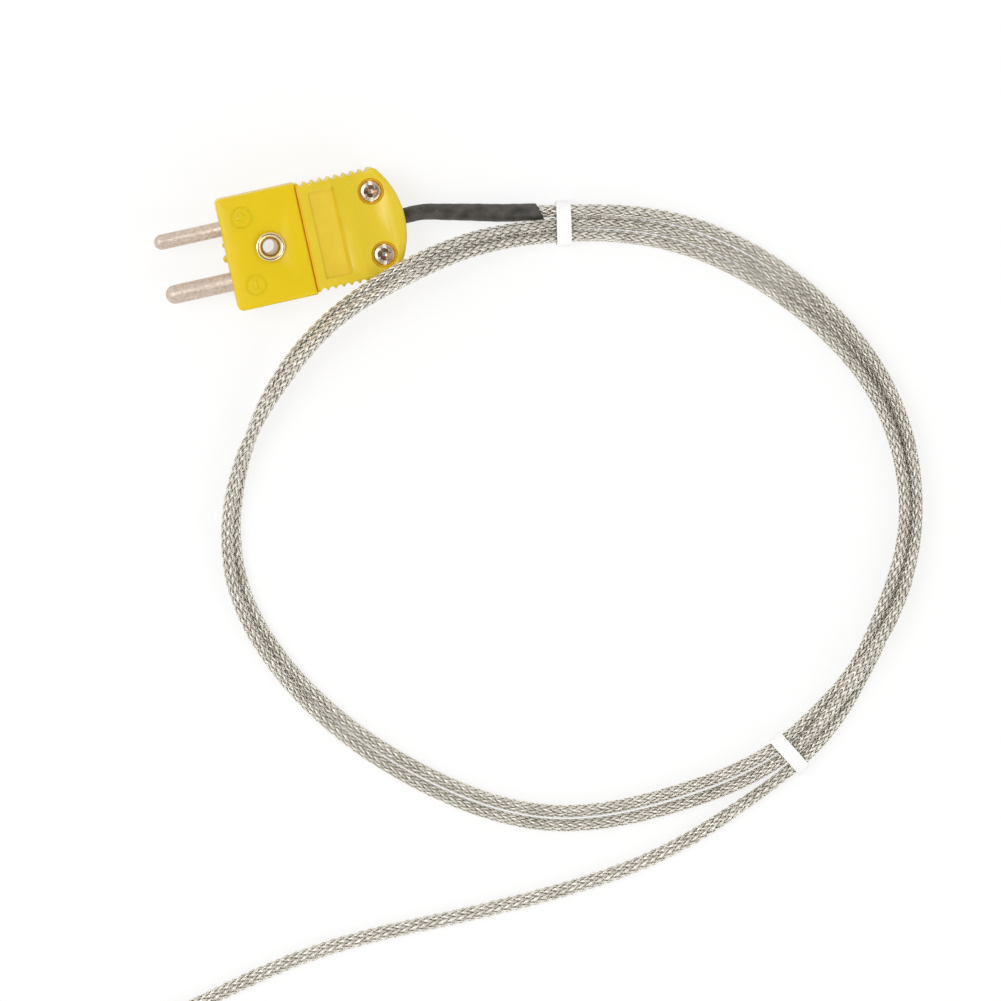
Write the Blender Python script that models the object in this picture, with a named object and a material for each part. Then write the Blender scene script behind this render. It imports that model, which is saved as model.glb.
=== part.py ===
"""A thermocouple probe: a riveted two-pin plug, a braided cable tied in a loop, and a closed sensing tip.

Metres, +Z up. The plug lies on its flat underside at z = 0 with its pins towards -X and its cable
towards +X. The origin is under the middle of the plug, pins included.
"""

import math

import bmesh
import bpy
import numpy as np
from mathutils import Matrix, Vector

# Housing
BODY_LENGTH = 0.0382
BODY_WIDTH = 0.0238
BODY_THICKNESS = 0.0127
CAP_WIDTH = 0.0231
BLOCK_LENGTH = 0.0169
REAR_ARC_RADIUS = 0.0179
CORNER_RADIUS = 0.0011
REAR_CORNER_RADIUS = 0.0018
BLOCK_EDGE_RADIUS = 0.0006
CAP_EDGE_RADIUS = 0.0012
WALL = 0.0017
FIT = 0.0003
PIP_RADII = (0.0004, 0.0008)
PIP_SIDES = (0.0021, -0.0008)
PIP_HEIGHT = 0.0036

# Grip flutes down both sides of the cap and the base
FLUTE_COUNT = 9
FLUTE_START = 0.0184
FLUTE_PITCH = 0.0017
FLUTE_RADIUS = 0.0007
FLUTE_DEPTH = 0.00065

# Label window sunk in the cap
WINDOW_START = 0.0193
WINDOW_LENGTH = 0.0055
WINDOW_WIDTH = 0.0184
WINDOW_DEPTH = 0.0004

# Thumb dish right across the cap
DISH_START = 0.0283
DISH_LENGTH = 0.0068
DISH_DEPTH = 0.00035

# Pins, one body each with its terminal
PIN_REACH = 0.0142
PIN_SPACING = 0.0113
POSITIVE_PIN_DIAMETER = 0.0032
NEGATIVE_PIN_DIAMETER = 0.0040
COLLAR_DIAMETER = 0.0056
COLLAR_LENGTH = 0.0014
COLLAR_SETBACK = 0.0030
TERMINAL_SETBACK = 0.0221
TERMINAL_LENGTH = 0.0070
TERMINAL_WIDTH = 0.0060
TERMINAL_HEIGHT = 0.0026
TERMINAL_RISE = 0.00055

# Fasteners
EYELET_SETBACK = 0.0093
EYELET_BORE = 0.0031
EYELET_WALL = 0.0004
EYELET_FLANGE = 0.0061
EYELET_ROLL = 0.0005
EYELET_SINK = 0.0010
CAP_SCREW_SETBACK = 0.0323
CAP_SCREW_SPACING = 0.0135
CAP_SCREW_HEAD = 0.0044
CAP_SCREW_HEAD_HEIGHT = 0.0010
CAP_SCREW_SHANK = 0.0024
CAP_SCREW_SINK = 0.0007
COUNTERBORE = 0.0056
BOSS_FLOOR = 0.0020
TERMINAL_SCREW_HEAD = 0.0046
TERMINAL_SCREW_HEAD_HEIGHT = 0.0013
TERMINAL_SCREW_SHANK = 0.0026
WASHER_DIAMETER = 0.0056
WASHER_THICKNESS = 0.0004
RECESS_WIDTH = 0.0007
RECESS_DEPTH = 0.0008

# Cable
CABLE_THICKNESS = 0.0024
CABLE_WIDTH = 0.0033
CONDUCTOR_DIAMETER = 0.0009
CABLE_TAIL_IN_BODY = 0.0104
SLEEVE_DIAMETER = 0.0036
SLEEVE_GRIP = 0.0060
SLEEVE_SLANT = 0.6
TIE_LENGTH = 0.0031
TIE_THICKNESS = 0.0005
LONG_SPAN = 0.0265
CONDUCTOR_POINTS = 34

# Stowed length of the cable and the sensing tip
COIL_DIAMETER = 0.0361
COIL_LANES = 2
LANE_PITCH = 0.0026
COIL_HEIGHT = 0.0044
COIL_EXIT_LENGTH = 0.0100
PROBE_DIAMETER = 0.0050
PROBE_LENGTH = 0.0400
PROBE_WALL = 0.0004
CABLE_IN_PROBE = 0.0080
INSULATOR_LENGTH = 0.0240
JUNCTION_DIAMETER = 0.0018

# Places that follow from the sizes
REAR_X = (BODY_LENGTH + PIN_REACH) / 2
FRONT_X = REAR_X - BODY_LENGTH
SEAM_X = FRONT_X + BLOCK_LENGTH
MID_Z = BODY_THICKNESS / 2
TERMINAL_X = FRONT_X + TERMINAL_SETBACK
TERMINAL_TOP = MID_Z + TERMINAL_RISE
TERMINAL_BOTTOM = TERMINAL_TOP - TERMINAL_HEIGHT
CONDUCTOR_Z = TERMINAL_TOP + FIT + CONDUCTOR_DIAMETER / 2
WASHER_Z = CONDUCTOR_Z + CONDUCTOR_DIAMETER / 2 + FIT
TERMINAL_HEAD_Z = WASHER_Z + WASHER_THICKNESS + FIT
CAVITY_TOP = TERMINAL_HEAD_Z + TERMINAL_SCREW_HEAD_HEIGHT + 2 * FIT
CAP_SCREW_X = FRONT_X + CAP_SCREW_SETBACK
CAP_HEAD_Z = BODY_THICKNESS - CAP_SCREW_SINK - CAP_SCREW_HEAD_HEIGHT
CABLE_START_X = REAR_X - CABLE_TAIL_IN_BODY
COIL_INNER = (COIL_DIAMETER - (COIL_LANES - 1) * LANE_PITCH - CABLE_THICKNESS) / 2
COIL_OUTER = (COIL_DIAMETER + (COIL_LANES - 1) * LANE_PITCH + CABLE_THICKNESS) / 2
COIL_BOTTOM = TIE_THICKNESS + 2 * FIT

# The cable's route: distance behind the housing, side, height over the bench.
# The first leg ends where the sleeve ends.
FIRST_LEG = [
    (0.0000, 0.0000, 0.00635),
    (0.0038, 0.0000, 0.00620),
    (0.0077, -0.0008, 0.00560),
    (0.0139, -0.0023, 0.00440),
    (0.0212, -0.0041, 0.00315),
    (0.0288, -0.0055, 0.00260),
]
FIRST_PASS = [
    (0.0333, -0.0063, 0.00295),
    (0.0577, -0.0139, 0.00190),
    (0.0803, -0.0330, 0.00210),
    (0.0938, -0.0606, 0.00420),
    (0.0913, -0.0919, 0.00470),
    (0.0834, -0.1062, 0.00510),
    (0.0731, -0.1169, 0.00475),
    (0.0650, -0.1241, 0.00355),
    (0.0560, -0.1300, 0.00240),
]
FIRST_RETURN = [
    (0.0309, -0.1358, 0.00165),
    (0.0023, -0.1336, 0.00165),
    (-0.0226, -0.1190, 0.00165),
    (-0.0423, -0.0966, 0.00175),
    (-0.0520, -0.0663, 0.00390),
    (-0.0442, -0.0421, 0.00560),
    (-0.0310, -0.0273, 0.00890),
    (-0.0178, -0.0178, 0.01310),
    (-0.0042, -0.0130, 0.01530),
    (0.0137, -0.0101, 0.00900),
    (0.0243, -0.0105, 0.00470),
]
SECOND_PASS = [
    (0.0323, -0.0116, 0.00315),
    (0.0547, -0.0187, 0.00190),
    (0.0758, -0.0358, 0.00210),
    (0.0903, -0.0610, 0.00420),
    (0.0888, -0.0911, 0.00470),
    (0.0811, -0.1050, 0.00360),
    (0.0723, -0.1163, 0.00180),
    (0.0637, -0.1225, 0.00190),
    (0.0546, -0.1275, 0.00240),
]
SECOND_RETURN = [
    (0.0305, -0.1327, 0.00165),
    (0.0032, -0.1307, 0.00165),
    (-0.0206, -0.1168, 0.00165),
    (-0.0398, -0.0956, 0.00165),
    (-0.0500, -0.0666, 0.00165),
    (-0.0436, -0.0425, 0.00210),
    (-0.0321, -0.0265, 0.00560),
    (-0.0188, -0.0166, 0.01060),
    (-0.0052, -0.0108, 0.01400),
    (0.0133, -0.0075, 0.00920),
    (0.0244, -0.0080, 0.00490),
]
THIRD_PASS = [
    (0.0328, -0.0090, 0.00320),
    (0.0562, -0.0163, 0.00180),
    (0.0781, -0.0345, 0.00165),
    (0.0924, -0.0611, 0.00165),
    (0.0904, -0.0919, 0.00165),
    (0.0834, -0.1064, 0.00165),
    (0.0744, -0.1182, 0.00170),
    (0.0667, -0.1262, 0.00195),
    (0.0574, -0.1325, 0.00240),
]
TAIL = [
    (0.0445, -0.1385, 0.00165),
    (0.0314, -0.1434, 0.00125),
    (0.0153, -0.1469, 0.00125),
    (-0.0026, -0.1483, 0.00125),
    (-0.0213, -0.1486, 0.00125),
    (-0.0399, -0.1485, 0.00125),
    (-0.0577, -0.1500, 0.00125),
    (-0.0726, -0.1530, 0.00125),
    (-0.0830, -0.1553, 0.00140),
    (-0.0899, -0.1569, 0.00165),
]


def clear_scene():
    for thing in list(bpy.data.objects):
        bpy.data.objects.remove(thing, do_unlink=True)


def finish(name, colour, roughness, metallic=0.0):
    """A Principled material in the piece's own colour."""
    made = bpy.data.materials.new(name)
    made.use_nodes = True
    shader = made.node_tree.nodes["Principled BSDF"]
    shader.inputs["Base Color"].default_value = (*colour, 1.0)
    shader.inputs["Roughness"].default_value = roughness
    shader.inputs["Metallic"].default_value = metallic
    return made


def place(name, shape, material, location=(0, 0, 0), rotation=(0, 0, 0), smooth=True):
    """Turn a bmesh into an object in the scene, and free the bmesh."""
    bmesh.ops.recalc_face_normals(shape, faces=shape.faces)
    mesh = bpy.data.meshes.new(name)
    shape.to_mesh(mesh)
    shape.free()
    if smooth:
        mesh.shade_smooth()
        mesh.set_sharp_from_angle(angle=math.radians(32))
    made = bpy.data.objects.new(name, mesh)
    made.location = location
    made.rotation_euler = rotation
    if material:
        mesh.materials.append(material)
    bpy.context.scene.collection.objects.link(made)
    return made


def arc(centre, radius, start, end, steps):
    """Points of an arc in plan, angles in degrees."""
    turns = [math.radians(start + (end - start) * i / steps) for i in range(steps + 1)]
    return [(centre[0] + radius * math.cos(a), centre[1] + radius * math.sin(a)) for a in turns]


def mirrored(half):
    """A closed outline from the half at y > 0, which runs from front to rear."""
    return half + [(x, -y) for x, y in reversed(half) if y > 1e-9]


def rear_corner(width):
    """The half outline round the rear: a side, a small corner and the large rear arc."""
    side = width / 2
    big = REAR_ARC_RADIUS
    small = REAR_CORNER_RADIUS
    big_x = REAR_X - big
    small_y = side - small
    small_x = big_x + math.sqrt((big - small) ** 2 - small_y**2)
    meeting = math.degrees(math.atan2(small_y, small_x - big_x))
    return arc((small_x, small_y), small, 90, meeting, 4) + arc((big_x, 0), big, meeting, 0, 10)[1:]


def front_corner(x, width, radius):
    return arc((x + radius, width / 2 - radius), radius, 180, 90, 4)


def block_outline(end):
    """The front block, from the pin face back to the seam."""
    half = front_corner(FRONT_X, BODY_WIDTH, CORNER_RADIUS) + [(end, BODY_WIDTH / 2)]
    return mirrored(half)


def cap_outline(start):
    return mirrored([(start, CAP_WIDTH / 2)] + rear_corner(CAP_WIDTH))


def base_outline():
    """The whole plan: the block, the step in at the seam, and the cap's part."""
    half = front_corner(FRONT_X, BODY_WIDTH, CORNER_RADIUS)
    half += [(SEAM_X, BODY_WIDTH / 2), (SEAM_X, CAP_WIDTH / 2)]
    return mirrored(half + rear_corner(CAP_WIDTH))


def slab(outline, low, high):
    """An upright block on a plan outline."""
    shape = bmesh.new()
    floor = shape.faces.new([shape.verts.new((x, y, low)) for x, y in outline])
    raised = bmesh.ops.extrude_face_region(shape, geom=[floor])["geom"]
    tops = [part for part in raised if isinstance(part, bmesh.types.BMVert)]
    bmesh.ops.translate(shape, verts=tops, vec=(0, 0, high - low))
    bmesh.ops.recalc_face_normals(shape, faces=shape.faces)
    return shape


def round_rim(shape, height, radius, segments, past=-1.0):
    """Round the rim at one height, for edges that lie beyond x = past."""
    rim = [
        edge
        for edge in shape.edges
        if all(abs(v.co.z - height) < 1e-6 for v in edge.verts)
        and max(v.co.x for v in edge.verts) > past
    ]
    bmesh.ops.bevel(
        shape, geom=rim, offset=radius, segments=segments, profile=0.5,
        affect="EDGES", clamp_overlap=True,
    )


def box(low, high):
    shape = bmesh.new()
    middle = (Vector(low) + Vector(high)) / 2
    size = Vector(high) - Vector(low)
    bmesh.ops.create_cube(shape, size=1, matrix=Matrix.Translation(middle) @ Matrix.Diagonal((*size, 1)))
    return shape


def turned(profile, steps, closed=False):
    """Spin a profile of (radius, height) points once round Z."""
    shape = bmesh.new()
    points = [shape.verts.new((radius, 0, height)) for radius, height in profile]
    lines = [shape.edges.new(pair) for pair in zip(points, points[1:])]
    if closed:
        lines.append(shape.edges.new((points[-1], points[0])))
    bmesh.ops.spin(
        shape, geom=points + lines, axis=(0, 0, 1), cent=(0, 0, 0), steps=steps, angle=2 * math.pi
    )
    bmesh.ops.remove_doubles(shape, verts=shape.verts, dist=1e-7)
    return shape


def rod(radius, low, high, steps=20):
    return turned([(0, low), (radius, low), (radius, high), (0, high)], steps)


ALONG_X = (0, math.pi / 2, 0)


def cutter(name, shape, location=(0, 0, 0), rotation=(0, 0, 0)):
    made = place(name, shape, None, location, rotation, smooth=False)
    made.hide_render = True
    made.display_type = "WIRE"
    return made


def boolean(piece, other, operation="DIFFERENCE"):
    modifier = piece.modifiers.new(f"{operation.lower()} {other.name}", "BOOLEAN")
    modifier.operation = operation
    modifier.object = other
    modifier.solver = "EXACT"


SPAN_STEPS = 40


def smooth_curve(points):
    """A natural cubic spline through the given points, with SPAN_STEPS short steps in each span."""
    knots = np.array(points, float)
    spans = np.linalg.norm(np.diff(knots, axis=0), axis=1)
    size = len(knots)
    system = np.eye(size)
    bend = np.zeros((size, 3))
    for i in range(1, size - 1):
        before, after = spans[i - 1], spans[i]
        system[i, i - 1 : i + 2] = before, 2 * (before + after), after
        bend[i] = 6 * ((knots[i + 1] - knots[i]) / after - (knots[i] - knots[i - 1]) / before)
    curve = np.linalg.solve(system, bend)
    steps = [knots[:1]]
    for i, span in enumerate(spans):
        right = np.linspace(0, 1, SPAN_STEPS + 1)[1:, None]
        left = 1 - right
        steps.append(
            left * knots[i]
            + right * knots[i + 1]
            + span**2 / 6 * ((left**3 - left) * curve[i] + (right**3 - right) * curve[i + 1])
        )
    return np.concatenate(steps)


def evenly(line, count):
    """Points at equal distances along a line."""
    lengths = np.concatenate([[0], np.cumsum(np.linalg.norm(np.diff(line, axis=0), axis=1))])
    wanted = np.linspace(0, lengths[-1], count)
    return np.stack([np.interp(wanted, lengths, line[:, axis]) for axis in range(3)], axis=1)


def span_points(line):
    """Every given point of a smooth curve, and the middle of each long span between them."""
    picked = [0]
    for start in range(0, len(line) - 1, SPAN_STEPS):
        stop = start + SPAN_STEPS
        if np.linalg.norm(line[stop] - line[start]) > LONG_SPAN:
            picked.append((start + stop) // 2)
        picked.append(stop)
    return line[picked]


def tube(name, points, radius, material, resolution=2):
    """A cord's plain solid: a round tube along the points, with filled ends."""
    data = bpy.data.curves.new(name, "CURVE")
    data.dimensions = "3D"
    data.bevel_depth = radius
    data.bevel_resolution = resolution
    data.use_fill_caps = True
    data.materials.append(material)
    spline = data.splines.new("POLY")
    spline.points.add(len(points) - 1)
    for knot, point in zip(spline.points, points):
        knot.co = (*point, 1)
    spline.use_smooth = True
    made = bpy.data.objects.new(name, data)
    bpy.context.scene.collection.objects.link(made)
    return made


def hollow_tube(points, outer, inner, sides, slant=0.0):
    """A tube with a bore along the points. Its far end is cut at a slant across its level side."""
    shape = bmesh.new()
    path = [Vector(p) for p in points]
    rows = []
    for i, centre in enumerate(path):
        along = (path[min(i + 1, len(path) - 1)] - path[max(i - 1, 0)]).normalized()
        level = along.cross(Vector((0, 0, 1))).normalized()
        up = level.cross(along)
        row = []
        for radius in (outer, inner):
            for k in range(sides):
                turn = 2 * math.pi * k / sides
                across = radius * math.cos(turn)
                spot = centre + level * across + up * radius * math.sin(turn)
                if i == len(path) - 1:
                    spot += along * across * slant
                row.append(shape.verts.new(spot))
        rows.append((row[:sides], row[sides:]))
    for before, after in zip(rows, rows[1:]):
        for skin in (0, 1):
            for k in range(sides):
                n = (k + 1) % sides
                shape.faces.new((before[skin][k], before[skin][n], after[skin][n], after[skin][k]))
    for outside, bore in (rows[0], rows[-1]):
        for k in range(sides):
            n = (k + 1) % sides
            shape.faces.new((outside[k], outside[n], bore[n], bore[k]))
    return shape


def band(half_width, half_height, corner, thickness, length):
    """A closed strap with round corners, standing across X."""
    def ring(extra):
        reach = half_width - corner
        rise = half_height - corner
        radius = corner + extra
        spots = ((reach, -rise, -90), (reach, rise, 0), (-reach, rise, 90), (-reach, -rise, 180))
        return [spot for y, z, start in spots for spot in arc((y, z), radius, start, start + 90, 4)]

    shape = bmesh.new()
    ends = []
    for x in (-length / 2, length / 2):
        outside = [shape.verts.new((x, y, z)) for y, z in ring(thickness)]
        inside = [shape.verts.new((x, y, z)) for y, z in ring(0)]
        ends.append((outside, inside))
    count = len(ends[0][0])
    for k in range(count):
        n = (k + 1) % count
        for skin in (0, 1):
            shape.faces.new((ends[0][skin][k], ends[0][skin][n], ends[1][skin][n], ends[1][skin][k]))
        for outside, inside in ends:
            shape.faces.new((outside[k], outside[n], inside[n], inside[k]))
    return shape


def route_point(point):
    return Vector((REAR_X + point[0], point[1], point[2]))


def screw_blank(head, head_height, shank, top, shank_bottom):
    """A cheese-head screw's turned form, thread left plain."""
    dome = head_height * 0.25
    edge = top - dome
    return turned(
        [
            (0, shank_bottom),
            (shank / 2 - FIT, shank_bottom),
            (shank / 2, shank_bottom + FIT),
            (shank / 2, top - head_height),
            (head / 2, top - head_height),
            (head / 2, edge - dome / 2),
            (head / 2 - dome / 2, edge + dome / 2),
            (head / 4, top),
            (0, top),
        ],
        24,
    )


def driver_slot(reach, top):
    """A slot across a screw's head, as far as reach to each side."""
    half = RECESS_WIDTH / 2
    return box((-reach, -half, top - RECESS_DEPTH), (reach, half, top + RECESS_DEPTH))


PLASTIC = finish("yellow_plastic", (0.86, 0.67, 0.03), 0.42)
NICKEL = finish("blasted_nickel_alloy", (0.62, 0.56, 0.51), 0.55, 1.0)
BRASS = finish("bright_brass", (0.83, 0.62, 0.28), 0.22, 1.0)
STEEL = finish("plated_steel", (0.62, 0.58, 0.54), 0.3, 1.0)
RUBBER = finish("black_sleeve", (0.035, 0.033, 0.032), 0.6)
BRAID = finish("steel_braid", (0.60, 0.58, 0.55), 0.35, 1.0)
NYLON = finish("white_tie", (0.9, 0.9, 0.9), 0.5)
SHEATH = finish("stainless_sheath", (0.66, 0.65, 0.63), 0.28, 1.0)
CERAMIC = finish("white_ceramic", (0.85, 0.83, 0.78), 0.6)
POSITIVE_WIRE = finish("positive_alloy_wire", (0.55, 0.53, 0.52), 0.35, 1.0)
NEGATIVE_WIRE = finish("negative_alloy_wire", (0.50, 0.46, 0.43), 0.35, 1.0)

SIDES = {
    "positive": (1, POSITIVE_PIN_DIAMETER, POSITIVE_WIRE),
    "negative": (-1, NEGATIVE_PIN_DIAMETER, NEGATIVE_WIRE),
}


def pin_bores():
    """Round channels for both pins and their collars, shared by the two halves."""
    made = []
    for label, (side, diameter, _) in SIDES.items():
        y = side * PIN_SPACING / 2
        radius = diameter / 2 + FIT
        collar = COLLAR_DIAMETER / 2 + FIT
        start = FRONT_X + COLLAR_SETBACK - FIT
        stop = start + COLLAR_LENGTH + 2 * FIT
        past = TERMINAL_X - TERMINAL_LENGTH / 2
        profile = [
            (0, FRONT_X - WALL), (radius, FRONT_X - WALL), (radius, start), (collar, start),
            (collar, stop), (radius, stop), (radius, past), (0, past),
        ]
        made.append(cutter(f"{label}_pin_bore", turned(profile, 20), (0, y, MID_Z), ALONG_X))
    return made


def terminal_pockets():
    """The two terminal compartments and the cross passage that the conductors come through."""
    rear = TERMINAL_X + TERMINAL_LENGTH / 2 + FIT
    front = TERMINAL_X - TERMINAL_LENGTH / 2 - FIT
    low = TERMINAL_BOTTOM - FIT
    middle = PIN_SPACING / 2
    inner = middle - TERMINAL_WIDTH / 2 - 3 * FIT
    outer = middle + TERMINAL_WIDTH / 2 + FIT
    made = []
    for label, (side, _, _) in SIDES.items():
        near, far = sorted((side * inner, side * outer))
        pocket = box((front, near, low), (rear, far, CAVITY_TOP))
        made.append(cutter(f"{label}_pocket", pocket))
    passage_end = CABLE_START_X + FIT
    passage = box((rear - FIT, -middle, low + FIT), (passage_end, middle, CAVITY_TOP - FIT))
    made.append(cutter("passage", passage))
    return made


def cable_bores():
    """The cable's grip and, wider behind it, the mouth for the sleeve."""
    grip = rod(CABLE_THICKNESS / 2 + FIT, CABLE_START_X - FIT, REAR_X - SLEEVE_GRIP, 16)
    mouth = rod(SLEEVE_DIAMETER / 2 + FIT, REAR_X - SLEEVE_GRIP - FIT, REAR_X + WALL, 20)
    return [
        cutter("cable_grip_bore", grip, (0, 0, MID_Z), ALONG_X),
        cutter("sleeve_mouth", mouth, (0, 0, MID_Z), ALONG_X),
    ]


def eyelet_bore():
    shank = EYELET_BORE / 2 + EYELET_WALL + FIT
    flange = EYELET_FLANGE / 2 + FIT
    profile = [
        (0, -WALL), (flange, -WALL), (flange, EYELET_SINK), (shank, EYELET_SINK),
        (shank, BODY_THICKNESS + WALL), (0, BODY_THICKNESS + WALL),
    ]
    return cutter("eyelet_bore", turned(profile, 24), (FRONT_X + EYELET_SETBACK, 0, 0))


def cap_screw_bores():
    """Stepped bores: counterbore and clearance in the cap, a blind bore in the base."""
    shank = CAP_SCREW_SHANK / 2 + FIT
    wide = COUNTERBORE / 2
    seat = CAP_HEAD_Z - FIT
    profile = [
        (0, BOSS_FLOOR), (shank, BOSS_FLOOR), (shank, seat), (wide, seat),
        (wide, BODY_THICKNESS + WALL), (0, BODY_THICKNESS + WALL),
    ]
    return [
        cutter(f"cap_screw_bore_{k + 1}", turned(profile, 24), (CAP_SCREW_X, y, 0))
        for k, y in enumerate((CAP_SCREW_SPACING / 2, -CAP_SCREW_SPACING / 2))
    ]


def flutes():
    """Upright grooves for the fingers, down both sides."""
    shape = bmesh.new()
    side = CAP_WIDTH / 2 + FLUTE_RADIUS - FLUTE_DEPTH
    for k in range(FLUTE_COUNT):
        x = FRONT_X + FLUTE_START + k * FLUTE_PITCH
        for y in (side, -side):
            bmesh.ops.create_cone(
                shape, cap_ends=True, segments=12, radius1=FLUTE_RADIUS, radius2=FLUTE_RADIUS,
                depth=2 * BODY_THICKNESS, matrix=Matrix.Translation((x, y, MID_Z)),
            )
    return cutter("flutes", shape)


def base_shell(cutters):
    """The full-length lower moulding, with two small pips on its pin face."""
    shape = slab(base_outline(), 0, MID_Z - FIT / 2)
    round_rim(shape, 0, BLOCK_EDGE_RADIUS, 3)
    base = place("base_shell", shape, PLASTIC)
    for k, (radius, y) in enumerate(zip(PIP_RADII, PIP_SIDES)):
        top = MID_Z - FIT / 2
        pip = cutter(f"pip_{k + 1}", rod(radius, top - PIP_HEIGHT, top, 12), (FRONT_X, y, 0))
        boolean(base, pip, "UNION")
    for other in cutters:
        boolean(base, other)
    return base


def front_cover(cutters):
    """The upper half of the front block, riveted down for good."""
    shape = slab(block_outline(SEAM_X - FIT / 2), MID_Z + FIT / 2, BODY_THICKNESS)
    round_rim(shape, BODY_THICKNESS, BLOCK_EDGE_RADIUS, 3)
    cover = place("front_cover", shape, PLASTIC)
    for other in cutters:
        boolean(cover, other)
    return cover


def thumb_dish():
    """A shallow hollow right across the cap's top, an arc in the side view."""
    half = DISH_LENGTH / 2
    radius = (half**2 + DISH_DEPTH**2) / (2 * DISH_DEPTH)
    middle = FRONT_X + DISH_START + half
    spread = math.degrees(math.asin(half / radius)) * 1.1
    low = (middle, BODY_THICKNESS - DISH_DEPTH + radius)
    curve = arc(low, radius, 270 - spread, 270 + spread, 8)
    outline = curve + [(curve[-1][0], BODY_THICKNESS + WALL), (curve[0][0], BODY_THICKNESS + WALL)]
    return cutter("thumb_dish", slab(outline, -CAP_WIDTH, CAP_WIDTH), rotation=(math.pi / 2, 0, 0))


def rear_cap(cutters):
    """The removable cap: a rounded rear rim, a sunk label window, a dish and two counterbores."""
    shape = slab(cap_outline(SEAM_X + FIT / 2), MID_Z + FIT / 2, BODY_THICKNESS)
    round_rim(shape, BODY_THICKNESS, CAP_EDGE_RADIUS, 5, past=SEAM_X + FIT)
    cap = place("rear_cap", shape, PLASTIC)
    window_x = FRONT_X + WINDOW_START
    window = slab(
        [
            (window_x, -WINDOW_WIDTH / 2),
            (window_x + WINDOW_LENGTH, -WINDOW_WIDTH / 2),
            (window_x + WINDOW_LENGTH, WINDOW_WIDTH / 2),
            (window_x, WINDOW_WIDTH / 2),
        ],
        BODY_THICKNESS - WINDOW_DEPTH,
        BODY_THICKNESS + WALL,
    )
    for other in [*cutters, cutter("label_window", window), thumb_dish()]:
        boolean(cap, other)
    return cap


def rivet_eyelet():
    """A hollow rivet: a straight barrel with both ends rolled over."""
    bore = EYELET_BORE / 2
    barrel = bore + EYELET_WALL
    flange = EYELET_FLANGE / 2
    roll = EYELET_ROLL
    top = BODY_THICKNESS + FIT
    low = EYELET_SINK - FIT
    crest = (barrel + flange) / 2

    def rolled(seat, way):
        under = [(barrel, seat), (flange - roll / 2, seat)]
        over = [
            (flange, seat + way * roll * 0.45),
            (flange - roll * 0.6, seat + way * roll * 0.95),
            (crest, seat + way * roll * 1.15),
            (bore + roll * 0.5, seat + way * roll * 0.8),
            (bore, seat - way * roll * 0.2),
        ]
        return under + over

    upper = rolled(top, 1)
    lower = rolled(low, -1)
    profile = upper + list(reversed(lower))
    return place(
        "rivet_eyelet", turned(profile, 32, closed=True), BRASS, (FRONT_X + EYELET_SETBACK, 0, 0)
    )


def contact_pin(label, side, diameter):
    """A round pin with a domed tip, a locating collar, and a drilled terminal block at its tail."""
    y = side * PIN_SPACING / 2
    radius = diameter / 2
    tip = FRONT_X - PIN_REACH
    collar = FRONT_X + COLLAR_SETBACK
    tail = TERMINAL_X - TERMINAL_LENGTH / 4
    dome = [(radius * math.sin(a), tip + radius * (1 - math.cos(a))) for a in
            (math.pi / 2 * k / 6 for k in range(7))]
    dome[0] = (0, tip)
    profile = dome + [
        (radius, collar), (COLLAR_DIAMETER / 2, collar),
        (COLLAR_DIAMETER / 2, collar + COLLAR_LENGTH), (radius, collar + COLLAR_LENGTH),
        (radius, tail), (0, tail),
    ]
    pin = place(f"{label}_pin", turned(profile, 24), NICKEL, (0, y, MID_Z), ALONG_X)
    block = box(
        (TERMINAL_X - TERMINAL_LENGTH / 2, y - TERMINAL_WIDTH / 2, TERMINAL_BOTTOM),
        (TERMINAL_X + TERMINAL_LENGTH / 2, y + TERMINAL_WIDTH / 2, TERMINAL_TOP),
    )
    boolean(pin, cutter(f"{label}_terminal", block), "UNION")
    hole = rod(TERMINAL_SCREW_SHANK / 2 + FIT, 0, BODY_THICKNESS, 16)
    boolean(pin, cutter(f"{label}_terminal_hole", hole, (TERMINAL_X, y, 0)))
    trim = box(
        (TERMINAL_X - TERMINAL_LENGTH, y - TERMINAL_WIDTH, TERMINAL_TOP),
        (TERMINAL_X + TERMINAL_LENGTH, y + TERMINAL_WIDTH, BODY_THICKNESS),
    )
    boolean(pin, cutter(f"{label}_terminal_flat", trim))
    return pin


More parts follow.
